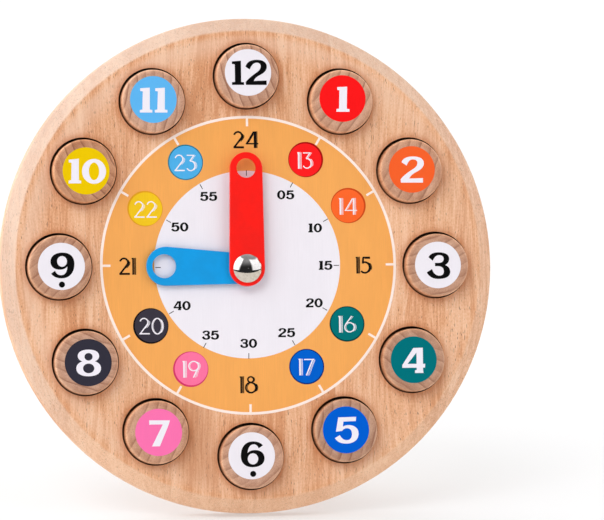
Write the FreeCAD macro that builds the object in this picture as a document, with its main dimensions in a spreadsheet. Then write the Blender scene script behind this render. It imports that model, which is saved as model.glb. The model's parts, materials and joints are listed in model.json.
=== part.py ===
import FreeCAD, Part
import math
import os

# Geared teaching clock: a round hardwood board that stands on its rim and leans
# back on a hinged easel leg.  Twelve loose number pegs sit in blind holes round
# the dial, and a red minute hand and a blue hour hand turn together through a
# 12:1 gear train in a recess behind the dial.
#
# Two frames are used, both in millimetres.
#   Row frame:   +Z up, the dial faces -Y, the floor is Z = 0, and the origin is
#                the bottom centre of the bounding box.
#   Board frame: u to the right, v up along the board, w out of the dial.
#                w = 0 is the dial face.  Every board-mounted piece is built in
#                this frame and gets the board's Placement.

os.makedirs("parts", exist_ok=True)
doc = FreeCAD.newDocument("TeachingClock")

# --------------------------------------------------------------------------
# Driving dimensions
# --------------------------------------------------------------------------
DIMS = [
    ("lean_angle", 12.0),          # board leans back from vertical, degrees
    ("board_radius", 140.0),
    ("board_thick", 20.0),
    ("bevel_width", 7.5),          # front bevel, measured across the face
    ("bevel_depth", 7.0),          # front bevel, measured into the edge
    ("bevel_soft", 2.2),           # rounding where the bevel meets the rim
    ("bevel_break", 1.5),          # rounding where the bevel meets the face
    ("back_round", 2.0),           # rounding of the back edge
    ("peg_pitch", 107.3),          # radius of the ring of peg holes
    ("ring_u", -0.8),              # the ring's centre sits left of the board's centre
    ("ring_v", -0.7),              # and below it
    ("peg_hole_rad", 19.0),
    ("peg_hole_deep", 12.0),
    ("peg_rad", 17.8),
    ("peg_long", 20.0),
    ("peg_top_round", 2.2),
    ("peg_low_round", 1.0),
    ("peg_sag", 0.4),              # pegs rest on the low side of their holes
    ("hub_u", -2.1),               # the hands' axis sits left of the board's centre
    ("hub_v", -2.4),               # and below it
    ("recess_rad", 58.0),          # gear recess in the back
    ("web_thick", 7.0),            # wood left between dial and recess
    ("rebate_rad", 66.0),
    ("cover_rad", 65.8),
    ("cover_thick", 3.0),
    ("bush_bore", 4.55),           # hour pipe runs here
    ("bush_rad", 6.5),
    ("bush_flange_rad", 9.0),
    ("bush_flange_thick", 1.0),
    ("bush_front", 0.5),           # bush stands proud of the dial
    ("pipe_rad", 4.5),
    ("pipe_bore", 3.05),
    ("arbor_rad", 3.0),
    ("gear_module", 1.0),
    ("gear_press", 25.0),          # pressure angle, degrees
    ("gear_centre", 30.15),        # hub to stud, with running backlash
    ("minute_teeth", 15.0),
    ("inter_big_teeth", 45.0),
    ("inter_small_teeth", 12.0),
    ("hour_teeth", 48.0),
    ("hour_gear_front", -8.2),
    ("hour_gear_back", -11.2),
    ("big_gear_front", -12.0),
    ("big_gear_back", -15.0),
    ("pinion_boss_back", -16.2),
    ("pinion_boss_rad", 5.5),
    ("stud_rad", 2.5),
    ("stud_bore", 2.55),
    ("stud_front", -3.5),
    ("stud_back", -16.2),
    ("clip_rad", 4.8),
    ("clip_front", -15.2),
    ("clip_back", -15.9),
    ("wash_rad", 5.5),
    ("wash_front", -16.25),
    ("wash_back", -16.7),
    ("bear_rad", 5.0),
    ("bear_flange_rad", 7.5),
    ("bear_flange_thick", 1.0),
    ("arbor_back", -20.2),
    ("arbor_front", 7.6),
    ("hour_hand_back", 1.0),
    ("hand_thick", 2.0),
    ("hand_gap", 0.6),             # washer space between the hands
    ("hour_hub_rad", 8.4),
    ("hour_tip_rad", 11.0),
    ("hour_tip_at", 45.9),
    ("hour_hole_rad", 6.75),
    ("hour_hole_at", 46.8),
    ("hour_hand_angle", 272.0),    # clockwise from 12, as pressed on its pipe
    ("min_hub_rad", 10.05),
    ("min_tip_rad", 9.25),
    ("min_tip_at", 56.4),
    ("min_hole_rad", 5.5),
    ("min_hole_at", 56.6),
    ("hand_edge", 0.35),           # softened front edge of the hands
    ("dome_rad", 8.0),
    ("dome_rim", 0.5),
    ("dome_rise", 3.2),
    ("screw_ring", 62.0),
    ("screw_rad", 1.25),
    ("screw_head_rad", 2.7),
    ("screw_head_thick", 1.6),
    ("screw_long", 7.0),
    ("hinge_v", 78.0),             # leg hinge, up the board
    ("hinge_w", -28.0),            # leg hinge, behind the dial face
    ("plate_half", 24.0),
    ("plate_tall", 20.0),
    ("plate_thick", 1.6),
    ("ear_in", 12.8),
    ("ear_thick", 2.0),
    ("ear_rad", 6.0),
    ("pin_rad", 2.0),
    ("pin_bore", 2.05),
    ("pin_head_rad", 3.6),
    ("pin_head_thick", 1.4),
    ("leg_angle", 8.0),            # leg from vertical when it stands, degrees
    ("leg_thick", 9.0),
    ("leg_head_half", 12.5),
    ("leg_heel", 6.1),             # heel above the hinge, which stops the leg
    ("leg_foot_half", 36.0),
    ("pad_thick", 1.5),
    ("pad_wide", 14.0),
    ("pad_at", 27.0),
]

sheet = doc.addObject("Spreadsheet::Sheet", "Sheet")
for row, (name, value) in enumerate(DIMS, start=1):
    sheet.set("A%d" % row, name)
    sheet.set("B%d" % row, repr(value))
    sheet.setAlias("B%d" % row, name)
doc.recompute()
NUM = dict(DIMS)


class Dim:
    """A size with its number and the sheet expression that gives it."""

    def __init__(self, value, text):
        self.value, self.text = float(value), text

    def _other(self, other):
        return other if isinstance(other, Dim) else Dim(other, "%.9g" % other)

    def __add__(self, other):
        o = self._other(other)
        return Dim(self.value + o.value, "(%s + %s)" % (self.text, o.text))

    def __sub__(self, other):
        o = self._other(other)
        return Dim(self.value - o.value, "(%s - (%s))" % (self.text, o.text))

    def __rsub__(self, other):
        o = self._other(other)
        return Dim(o.value - self.value, "(%s - (%s))" % (o.text, self.text))

    def __mul__(self, other):
        o = self._other(other)
        return Dim(self.value * o.value, "(%s * %s)" % (self.text, o.text))

    def __truediv__(self, other):
        o = self._other(other)
        return Dim(self.value / o.value, "(%s / %s)" % (self.text, o.text))

    def __neg__(self):
        return Dim(-self.value, "(0 - %s)" % self.text)

    __radd__ = __add__
    __rmul__ = __mul__


def d(name):
    return Dim(NUM[name], "Sheet." + name)


ZERO = Dim(0.0, "0")

# --------------------------------------------------------------------------
# Placement of the board in the row frame
# --------------------------------------------------------------------------
LEAN = math.radians(NUM["lean_angle"])
LEG = math.radians(NUM["leg_angle"])
sL, cL = math.sin(LEAN), math.cos(LEAN)
R, T, BR = NUM["board_radius"], NUM["board_thick"], NUM["back_round"]

# The back edge rounding is the lowest part of the rim and touches the floor.
origin_z = (R - BR) * cL + (T - BR) * sL + BR


def board_yz(v, w, y0=0.0):
    """Row-frame Y and Z of a point of the board's middle plane."""
    return y0 + v * sL - w * cL, origin_z + v * cL + w * sL


hinge_y, hinge_z = board_yz(NUM["hinge_v"], NUM["hinge_w"])
leg_run = hinge_z / math.cos(LEG)           # hinge axis to floor along the leg
rear_y = (hinge_y + (hinge_z - NUM["pad_thick"]) * math.tan(LEG)
          + 0.5 * NUM["leg_thick"] / math.cos(LEG))
front_y = board_yz(NUM["ring_v"] - (NUM["peg_pitch"] + NUM["peg_sag"] + NUM["peg_rad"]
                                    - NUM["peg_top_round"]),
                   NUM["peg_long"] - NUM["peg_hole_deep"]
                   - NUM["peg_top_round"])[0] - NUM["peg_top_round"]
origin_y = -0.5 * (rear_y + front_y)

BOARD = FreeCAD.Placement(
    FreeCAD.Vector(0, origin_y, origin_z),
    FreeCAD.Rotation(FreeCAD.Vector(1, 0, 0), 90.0 - NUM["lean_angle"]))
# The hands, the gears, their recess and its cover share an axis a little off centre.
HUB = BOARD.multiply(FreeCAD.Placement(
    FreeCAD.Vector(NUM["hub_u"], NUM["hub_v"], 0), FreeCAD.Rotation()))

# --------------------------------------------------------------------------
# Modelling helpers
# --------------------------------------------------------------------------
NODES = []


def node(obj, placement=None):
    if placement is not None:
        obj.Placement = placement
    NODES.append(obj)
    return obj


def new_body(label):
    body = doc.addObject("PartDesign::Body", label)
    body.Label = label
    return body


def plane_of(body, role):
    for feature in body.Origin.OriginFeatures:
        if feature.Role == role:
            return feature
    raise RuntimeError("no plane " + role)


def new_sketch(body, name, role="XY_Plane", lift=None):
    sk = body.newObject("Sketcher::SketchObject", name)
    sk.AttachmentSupport = [(plane_of(body, role), "")]
    sk.MapMode = "FlatFace"
    if lift is not None:
        sk.AttachmentOffset = FreeCAD.Placement(
            FreeCAD.Vector(0, 0, lift.value), FreeCAD.Rotation())
        sk.setExpression("AttachmentOffset.Base.z", lift.text)
    return sk


def bind(sk, index, dim):
    sk.setExpression("Constraints[%d]" % index, dim.text)


def pin_point(sk, geo, pos, x, y):
    """Hold a sketch point at (x, y) from the sketch origin."""
    import Sketcher
    if abs(x.value) < 1e-9:
        sk.addConstraint(Sketcher.Constraint("PointOnObject", geo, pos, -2))
    else:
        i = sk.addConstraint(Sketcher.Constraint("DistanceX", -1, 1, geo, pos, x.value))
        bind(sk, i, x)
    if abs(y.value) < 1e-9:
        sk.addConstraint(Sketcher.Constraint("PointOnObject", geo, pos, -1))
    else:
        i = sk.addConstraint(Sketcher.Constraint("DistanceY", -1, 1, geo, pos, y.value))
        bind(sk, i, y)


def add_circle(sk, x, y, radius):
    import Sketcher
    g = sk.addGeometry(Part.Circle(FreeCAD.Vector(x.value, y.value, 0),
                                   FreeCAD.Vector(0, 0, 1), radius.value), False)
    i = sk.addConstraint(Sketcher.Constraint("Radius", g, radius.value))
    bind(sk, i, radius)
    pin_point(sk, g, 3, x, y)
    return g


def add_polygon(sk, points):
    import Sketcher
    geos = []
    for k, (x, y) in enumerate(points):
        x2, y2 = points[(k + 1) % len(points)]
        geos.append(sk.addGeometry(Part.LineSegment(
            FreeCAD.Vector(x.value, y.value, 0),
            FreeCAD.Vector(x2.value, y2.value, 0)), False))
    for k, g in enumerate(geos):
        nxt = geos[(k + 1) % len(geos)]
        sk.addConstraint(Sketcher.Constraint("Coincident", g, 2, nxt, 1))
    for k, g in enumerate(geos):
        pin_point(sk, g, 1, *points[k])
    return geos


def pad(body, sk, length, name, reverse=False):
    f = body.newObject("PartDesign::Pad", name)
    f.Profile = sk
    f.Length = length.value
    f.setExpression("Length", length.text)
    f.Reversed = reverse
    body.Tip = f
    doc.recompute()
    return f


def pocket(body, sk, length, name, reverse=False):
    """Cut the sketch into the body; the volume has to drop."""
    before = body.Shape.Volume
    f = body.newObject("PartDesign::Pocket", name)
    f.Profile = sk
    f.Length = length.value
    f.setExpression("Length", length.text)
    f.Reversed = reverse
    body.Tip = f
    doc.recompute()
    if not body.Shape.Volume < before - 1e-3:
        raise RuntimeError("pocket %s of %s removed nothing" % (name, body.Label))
    return f


def revolve(body, sk, name, axis="V_Axis"):
    f = body.newObject("PartDesign::Revolution", name)
    f.Profile = sk
    f.ReferenceAxis = (sk, [axis])
    f.Angle = 360.0
    body.Tip = f
    doc.recompute()
    return f


def polar(body, feature, count, name):
    before = body.Shape.Volume
    f = body.newObject("PartDesign::PolarPattern", name)
    f.Originals = [feature]
    axis = [a for a in body.Origin.OriginFeatures if a.Role == "Z_Axis"][0]
    f.Axis = (axis, [""])
    f.Angle = 360.0
    f.Occurrences = count
    body.Tip = f
    doc.recompute()
    if not abs(body.Shape.Volume - before) > 1e-3:
        raise RuntimeError("pattern %s of %s changed nothing" % (name, body.Label))
    return f


def circle_edges(shape, radius, height):
    """Names of the full circles of a radius at a height of the local frame."""
    names = []
    for k, e in enumerate(shape.Edges, start=1):
        c = e.Curve
        if (c.TypeId == "Part::GeomCircle" and abs(c.Radius - radius) < 1e-4
                and abs(c.Center.z - height) < 1e-4):
            names.append("Edge%d" % k)
    return names


def fillet(body, edges, radius, name):
    if not edges:
        raise RuntimeError("no edges for " + name)
    base = body.Tip
    f = body.newObject("PartDesign::Fillet", name)
    f.Base = (base, edges)
    f.Radius = radius.value
    f.setExpression("Radius", radius.text)
    body.Tip = f
    doc.recompute()
    return f


def ring_body(label, profile):
    """A turned piece: (radius, height) points revolved about the local Z axis."""
    body = new_body(label)
    sk = new_sketch(body, label + "_profile", "XZ_Plane")
    add_polygon(sk, profile)
    doc.recompute()
    revolve(body, sk, label + "_turned")
    return body


# --------------------------------------------------------------------------
# Board
# --------------------------------------------------------------------------
board = ring_body("board", [
    (ZERO, ZERO),
    (d("board_radius") - d("bevel_width"), ZERO),
    (d("board_radius"), -d("bevel_depth")),
    (d("board_radius"), -d("board_thick")),
    (ZERO, -d("board_thick"))])
fillet(board, circle_edges(board.Shape, R, -T), d("back_round"), "board_back_edge")
fillet(board, circle_edges(board.Shape, R, -NUM["bevel_depth"]), d("bevel_soft"),
       "board_bevel_edge")
fillet(board, circle_edges(board.Shape, R - NUM["bevel_width"], 0.0), d("bevel_break"),
       "board_face_edge")
sk = new_sketch(board, "board_peg_holes")
for hour in range(1, 13):
    a = math.radians(30.0 * hour)
    add_circle(sk, d("ring_u") + d("peg_pitch") * math.sin(a),
               d("ring_v") + d("peg_pitch") * math.cos(a), d("peg_hole_rad"))
pocket(board, sk, d("peg_hole_deep"), "board_peg_hole_cut")
sk = new_sketch(board, "board_rebate", lift=-d("board_thick"))
add_circle(sk, d("hub_u"), d("hub_v"), d("rebate_rad"))
pocket(board, sk, d("cover_thick"), "board_rebate_cut", reverse=True)
sk = new_sketch(board, "board_recess", lift=-d("board_thick"))
add_circle(sk, d("hub_u"), d("hub_v"), d("recess_rad"))
pocket(board, sk, d("board_thick") - d("web_thick"), "board_recess_cut", reverse=True)
sk = new_sketch(board, "board_bore")
add_circle(sk, d("hub_u"), d("hub_v"), d("bush_rad"))
pocket(board, sk, d("board_thick"), "board_bore_cut")
sk = new_sketch(board, "board_stud_hole", lift=-d("web_thick"))
add_circle(sk, d("hub_u") + d("gear_centre"), d("hub_v"), d("stud_rad"))
pocket(board, sk, d("web_thick") + d("stud_front"), "board_stud_hole_cut", reverse=True)
sk = new_sketch(board, "board_cover_pilots", lift=-(d("board_thick") - d("cover_thick")))
for k in range(6):
    a = math.radians(60.0 * k + 60.0)
    add_circle(sk, d("hub_u") + d("screw_ring") * math.cos(a),
               d("hub_v") + d("screw_ring") * math.sin(a), d("screw_rad"))
pocket(board, sk, d("screw_long"), "board_cover_pilot_cut", reverse=True)
plate_screw_u = d("plate_half") - 4.5
plate_screw_dv = d("plate_tall") / 2 - 4.0
PLATE_SCREWS = [(su * plate_screw_u, d("hinge_v") + sv * plate_screw_dv)
                for su in (-1, 1) for sv in (-1, 1)]
sk = new_sketch(board, "board_hinge_pilots", lift=-d("board_thick"))
for x, y in PLATE_SCREWS:
    add_circle(sk, x, y, d("screw_rad"))
pocket(board, sk, d("screw_long"), "board_hinge_pilot_cut", reverse=True)
node(board, BOARD)

# --------------------------------------------------------------------------
# Number pegs: plain turned plugs, one in each hole, with a rounded top edge
# --------------------------------------------------------------------------
peg_top = d("peg_long") - d("peg_hole_deep")
for hour in range(1, 13):
    label = "number_peg_%d" % hour
    peg = ring_body(label, [
        (ZERO, -d("peg_hole_deep")),
        (d("peg_rad"), -d("peg_hole_deep")),
        (d("peg_rad"), peg_top),
        (ZERO, peg_top)])
    fillet(peg, circle_edges(peg.Shape, NUM["peg_rad"], peg_top.value),
           d("peg_top_round"), label + "_top_edge")
    fillet(peg, circle_edges(peg.Shape, NUM["peg_rad"], -NUM["peg_hole_deep"]),
           d("peg_low_round"), label + "_low_edge")
    a = math.radians(30.0 * hour)
    at = FreeCAD.Vector(
        NUM["ring_u"] + NUM["peg_pitch"] * math.sin(a),
        NUM["ring_v"] + NUM["peg_pitch"] * math.cos(a) - NUM["peg_sag"], 0)
    node(peg, BOARD.multiply(FreeCAD.Placement(at, FreeCAD.Rotation())))

# --------------------------------------------------------------------------
# Hands: flat tapered paddles with a round finger hole in the tip
# --------------------------------------------------------------------------


def hand_body(label, hub_rad, tip_rad, tip_at, bore, hole_rad, hole_at, back, angle):
    """A hand that points along local +Y, then turned to its hour angle."""
    import Sketcher
    body = new_body(label)
    sk = new_sketch(body, label + "_outline", lift=back)
    lean = math.asin((hub_rad.value - tip_rad.value) / tip_at.value)
    cx, sx = math.cos(lean), math.sin(lean)
    hr, tr, ta = hub_rad.value, tip_rad.value, tip_at.value
    vec = FreeCAD.Vector
    hub_l, hub_r = vec(-hr * cx, hr * sx, 0), vec(hr * cx, hr * sx, 0)
    tip_l, tip_r = vec(-tr * cx, ta + tr * sx, 0), vec(tr * cx, ta + tr * sx, 0)
    a0 = lean
    hub = sk.addGeometry(Part.ArcOfCircle(
        Part.Circle(vec(0, 0, 0), vec(0, 0, 1), hr), math.pi - a0, 2 * math.pi + a0), False)
    right = sk.addGeometry(Part.LineSegment(hub_r, tip_r), False)
    tip = sk.addGeometry(Part.ArcOfCircle(
        Part.Circle(vec(0, ta, 0), vec(0, 0, 1), tr), a0, math.pi - a0), False)
    left = sk.addGeometry(Part.LineSegment(tip_l, hub_l), False)
    for g1, p1, g2, p2 in ((hub, 2, right, 1), (right, 2, tip, 1),
                           (tip, 2, left, 1), (left, 2, hub, 1)):
        sk.addConstraint(Sketcher.Constraint("Tangent", g1, p1, g2, p2))
    sk.addConstraint(Sketcher.Constraint("Coincident", hub, 3, -1, 1))
    pin_point(sk, tip, 3, ZERO, tip_at)
    bind(sk, sk.addConstraint(Sketcher.Constraint("Radius", hub, hr)), hub_rad)
    bind(sk, sk.addConstraint(Sketcher.Constraint("Radius", tip, tr)), tip_rad)
    doc.recompute()
    pad(body, sk, d("hand_thick"), label + "_plate")
    front = back.value + NUM["hand_thick"]
    top = [("Edge%d" % k) for k, e in enumerate(body.Shape.Edges, start=1)
           if all(abs(v.Z - front) < 1e-6 for v in e.Vertexes) and len(e.Vertexes) == 2]
    fillet(body, top, d("hand_edge"), label + "_front_edge")
    sk = new_sketch(body, label + "_holes", lift=back)
    add_circle(sk, ZERO, ZERO, bore)
    add_circle(sk, ZERO, hole_at, hole_rad)
    pocket(body, sk, d("hand_thick"), label + "_hole_cut", reverse=True)
    node(body, HUB.multiply(FreeCAD.Placement(
        vec(0, 0, 0), FreeCAD.Rotation(vec(0, 0, 1), -angle))))
    return body


hour_hand = hand_body("hour_hand", d("hour_hub_rad"), d("hour_tip_rad"), d("hour_tip_at"),
                      d("pipe_rad"), d("hour_hole_rad"), d("hour_hole_at"),
                      d("hour_hand_back"), NUM["hour_hand_angle"])
hour_front = d("hour_hand_back") + d("hand_thick")
minute_back = hour_front + d("hand_gap")
minute_front = minute_back + d("hand_thick")
minute_hand = hand_body("minute_hand", d("min_hub_rad"), d("min_tip_rad"), d("min_tip_at"),
                        d("arbor_rad"), d("min_hole_rad"), d("min_hole_at"),
                        minute_back, 0.0)

# --------------------------------------------------------------------------
# Turned pieces on the hub axis
# --------------------------------------------------------------------------


def tube(label, inner, outer, low, high, placement=HUB):
    return node(ring_body(label, [(inner, low), (outer, low), (outer, high),
                                  (inner, high)]), placement)


node(ring_body("centre_bush", [
    (d("bush_bore"), -(d("web_thick") + d("bush_flange_thick"))),
    (d("bush_flange_rad"), -(d("web_thick") + d("bush_flange_thick"))),
    (d("bush_flange_rad"), -d("web_thick")),
    (d("bush_rad"), -d("web_thick")),
    (d("bush_rad"), d("bush_front")),
    (d("bush_bore"), d("bush_front"))]), HUB)
tube("hand_washer", d("arbor_rad"), d("bush_rad"),
     hour_front + 0.1, minute_back)
node(ring_body("minute_arbor", [
    (ZERO, d("arbor_back")), (d("arbor_rad"), d("arbor_back")),
    (d("arbor_rad"), d("arbor_front")), (ZERO, d("arbor_front"))]), HUB)
tube("friction_washer", d("arbor_rad") + 0.1, d("wash_rad"), d("wash_back"), d("wash_front"))
node(ring_body("arbor_bearing", [
    (d("pipe_bore"), -(d("board_thick") + d("bear_flange_thick"))),
    (d("bear_flange_rad"), -(d("board_thick") + d("bear_flange_thick"))),
    (d("bear_flange_rad"), -d("board_thick")),
    (d("bear_rad"), -d("board_thick")),
    (d("bear_rad"), d("wash_back") - 0.1),
    (d("pipe_bore"), d("wash_back") - 0.1)]), HUB)
STUD = HUB.multiply(FreeCAD.Placement(
    FreeCAD.Vector(NUM["gear_centre"], 0, 0), FreeCAD.Rotation()))
node(ring_body("intermediate_stud", [
    (ZERO, d("stud_back")), (d("stud_rad"), d("stud_back")),
    (d("stud_rad"), d("stud_front")), (ZERO, d("stud_front"))]), STUD)
tube("stud_clip", d("stud_rad"), d("clip_rad"), d("clip_back"), d("clip_front"), STUD)

# Domed nut: a short rim, then one spherical cap, with a blind bore for the arbor.
dome = new_body("dome_nut")
sk = new_sketch(dome, "dome_nut_profile", "XZ_Plane")
rim = minute_front + d("dome_rim")
rise = NUM["dome_rise"]
base_r = NUM["dome_rad"]
ball = (base_r ** 2 + rise ** 2) / (2 * rise)
ball_z = rim.value + rise - ball
import Sketcher
vec = FreeCAD.Vector
lines = [
    (vec(base_r, minute_front.value, 0), vec(base_r, rim.value, 0)),
    (vec(0, rim.value + rise, 0), vec(0, NUM["arbor_front"], 0)),
    (vec(0, NUM["arbor_front"], 0), vec(NUM["arbor_rad"], NUM["arbor_front"], 0)),
    (vec(NUM["arbor_rad"], NUM["arbor_front"], 0), vec(NUM["arbor_rad"], minute_front.value, 0)),
    (vec(NUM["arbor_rad"], minute_front.value, 0), vec(base_r, minute_front.value, 0))]
g = [sk.addGeometry(Part.LineSegment(p, q), False) for p, q in lines]
a1 = math.atan2(rim.value - ball_z, base_r)
cap = sk.addGeometry(Part.ArcOfCircle(
    Part.Circle(vec(0, ball_z, 0), vec(0, 0, 1), ball), a1, math.pi / 2), False)
for g1, p1, g2, p2 in ((g[0], 2, cap, 1), (cap, 2, g[1], 1), (g[1], 2, g[2], 1),
                       (g[2], 2, g[3], 1), (g[3], 2, g[4], 1), (g[4], 2, g[0], 1)):
    sk.addConstraint(Sketcher.Constraint("Coincident", g1, p1, g2, p2))
pin_point(sk, g[0], 1, d("dome_rad"), minute_front)
pin_point(sk, g[0], 2, d("dome_rad"), rim)
pin_point(sk, g[1], 1, ZERO, rim + d("dome_rise"))
pin_point(sk, g[2], 1, ZERO, d("arbor_front"))
pin_point(sk, g[3], 1, d("arbor_rad"), d("arbor_front"))
pin_point(sk, g[4], 1, d("arbor_rad"), minute_front)
sk.addConstraint(Sketcher.Constraint("PointOnObject", cap, 3, -2))
doc.recompute()
revolve(dome, sk, "dome_nut_turned")
node(dome, HUB)

# --------------------------------------------------------------------------
# Gears: involute teeth, made as plain faces and extruded
# --------------------------------------------------------------------------


def gear_face(teeth, phase):
    """Closed wire of an involute gear; phase is the angle of one tooth's middle."""
    m, pa = NUM["gear_module"], math.radians(NUM["gear_press"])
    rp = 0.5 * m * teeth
    rb, ra, rf = rp * math.cos(pa), rp + 0.95 * m, rp - 1.2 * m

    def inv(x):
        return math.tan(x) - x

    half = math.pi / (2 * teeth) - 0.02 / rp
    low = max(rb, rf)

    def flank(r):
        return half + inv(pa) - inv(math.acos(min(1.0, rb / r)))

    radii = [low + (ra - low) * (k / 6.0) ** 1.3 for k in range(7)]
    edges = []

    def at(r, ang):
        return FreeCAD.Vector(r * math.cos(ang), r * math.sin(ang), 0)

    for k in range(int(teeth)):
        c = phase + 2 * math.pi * k / teeth
        up = [at(r, c - flank(r)) for r in radii]
        down = [at(r, c + flank(r)) for r in reversed(radii)]
        if rf < rb - 1e-6:
            edges.append(Part.LineSegment(at(rf, c - flank(low)), up[0]).toShape())
        s1 = Part.BSplineCurve()
        s1.interpolate(up)
        edges.append(s1.toShape())
        edges.append(Part.Arc(up[-1], at(ra, c), down[0]).toShape())
        s2 = Part.BSplineCurve()
        s2.interpolate(down)
        edges.append(s2.toShape())
        if rf < rb - 1e-6:
            edges.append(Part.LineSegment(down[-1], at(rf, c + flank(low))).toShape())
        nxt = c + 2 * math.pi / teeth
        start = at(rf, c + flank(low)) if rf < rb - 1e-6 else down[-1]
        end = (at(rf, nxt - flank(low)) if rf < rb - 1e-6
               else at(low, nxt - flank(low)))
        edges.append(Part.Arc(start, at(rf, 0.5 * (c + nxt)), end).toShape())
    wire = Part.Wire(Part.__sortEdges__(edges))
    return Part.Face(wire)


def slab(face, low, high):
    f = face.copy()
    f.translate(FreeCAD.Vector(0, 0, low))
    return f.extrude(FreeCAD.Vector(0, 0, high - low))


def cyl(radius, low, high):
    return Part.makeCylinder(radius, high - low, FreeCAD.Vector(0, 0, low))


def gear_node(label, shape, placement):
    obj = doc.addObject("Part::Feature", label)
    obj.Label = label
    obj.Shape = shape
    return node(obj, placement)


gap = math.pi          # the stud's gear faces the hub at this angle
zb, zs, zh, zm = (NUM["inter_big_teeth"], NUM["inter_small_teeth"],
                  NUM["hour_teeth"], NUM["minute_teeth"])
big = slab(gear_face(zb, gap + math.pi / zb), NUM["big_gear_back"], NUM["big_gear_front"])
small = slab(gear_face(zs, gap), NUM["big_gear_front"] - 0.5, NUM["hour_gear_front"] + 0.4)
inter = big.fuse(small).removeSplitter()
for k in range(5):
    a = 2 * math.pi * (k + 0.5) / 5
    light = cyl(4.6, NUM["big_gear_back"] - 1, NUM["big_gear_front"] + 1)
    light.translate(FreeCAD.Vector(13.6 * math.cos(a), 13.6 * math.sin(a), 0))
    inter = inter.cut(light)
inter = inter.cut(cyl(NUM["stud_bore"], -20, 0))
gear_node("intermediate_gear", inter, STUD)

hour = slab(gear_face(zh, math.pi / zh), NUM["hour_gear_back"], NUM["hour_gear_front"])
hour = hour.fuse(cyl(NUM["pipe_rad"], NUM["hour_gear_back"], hour_front.value))
for k in range(6):
    a = 2 * math.pi * k / 6
    light = cyl(4.4, NUM["hour_gear_back"] - 1, NUM["hour_gear_front"] + 1)
    light.translate(FreeCAD.Vector(14.6 * math.cos(a), 14.6 * math.sin(a), 0))
    hour = hour.cut(light)
hour = hour.cut(cyl(NUM["pipe_bore"], -20, 20))
gear_node("hour_wheel", hour, HUB)

pin = slab(gear_face(zm, 0.0), NUM["big_gear_back"], NUM["big_gear_front"])
pin = pin.fuse(cyl(NUM["pinion_boss_rad"], NUM["pinion_boss_back"], NUM["big_gear_back"]))
pin = pin.cut(cyl(NUM["arbor_rad"], -20, 0))
gear_node("cannon_pinion", pin, HUB)

# --------------------------------------------------------------------------
# Rear cover and its screws
# --------------------------------------------------------------------------
cover = new_body("rear_cover")
sk = new_sketch(cover, "rear_cover_disc", lift=-d("board_thick"))
add_circle(sk, ZERO, ZERO, d("cover_rad"))
doc.recompute()
pad(cover, sk, d("cover_thick"), "rear_cover_plate")
sk = new_sketch(cover, "rear_cover_bore", lift=-d("board_thick"))
add_circle(sk, ZERO, ZERO, d("bear_rad"))
pocket(cover, sk, d("cover_thick"), "rear_cover_bore_cut", reverse=True)
sk = new_sketch(cover, "rear_cover_screw_hole", lift=-d("board_thick"))
add_circle(sk, d("screw_ring") * math.cos(math.radians(60)),
           d("screw_ring") * math.sin(math.radians(60)), d("screw_rad") + 0.25)
hole = pocket(cover, sk, d("cover_thick"), "rear_cover_screw_cut", reverse=True)
polar(cover, hole, 6, "rear_cover_screw_holes")
node(cover, HUB)


def screw(label, x, y, seat, reach):
    """Pan-head wood screw seen from behind; the head sits on w = seat."""
    body = ring_body(label, [
        (ZERO, seat - d("screw_head_thick")),
        (d("screw_head_rad") - 0.6, seat - d("screw_head_thick")),
        (d("screw_head_rad"), seat - d("screw_head_thick") + 0.6),
        (d("screw_head_rad"), seat),
        (d("screw_rad"), seat),
        (d("screw_rad"), seat + reach - 1.5),
        (ZERO, seat + reach)])
    cross = new_sketch(body, label + "_slot", lift=seat - d("screw_head_thick"))
    a, b = Dim(1.6, "1.6"), Dim(0.28, "0.28")
    add_polygon(cross, [(-a, -b), (-b, -b), (-b, -a), (b, -a), (b, -b), (a, -b),
                        (a, b), (b, b), (b, a), (-b, a), (-b, b), (-a, b)])
    pocket(body, cross, Dim(0.9, "0.9"), label + "_slot_cut", reverse=True)
    node(body, BOARD.multiply(FreeCAD.Placement(
        FreeCAD.Vector(x, y, 0), FreeCAD.Rotation())))


for k in range(6):
    a = math.radians(60.0 * k + 60.0)
    screw("cover_screw_%d" % (k + 1), NUM["hub_u"] + NUM["screw_ring"] * math.cos(a),
          NUM["hub_v"] + NUM["screw_ring"] * math.sin(a), -d("board_thick"),
          d("cover_thick") + d("screw_long") - 0.3)

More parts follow.
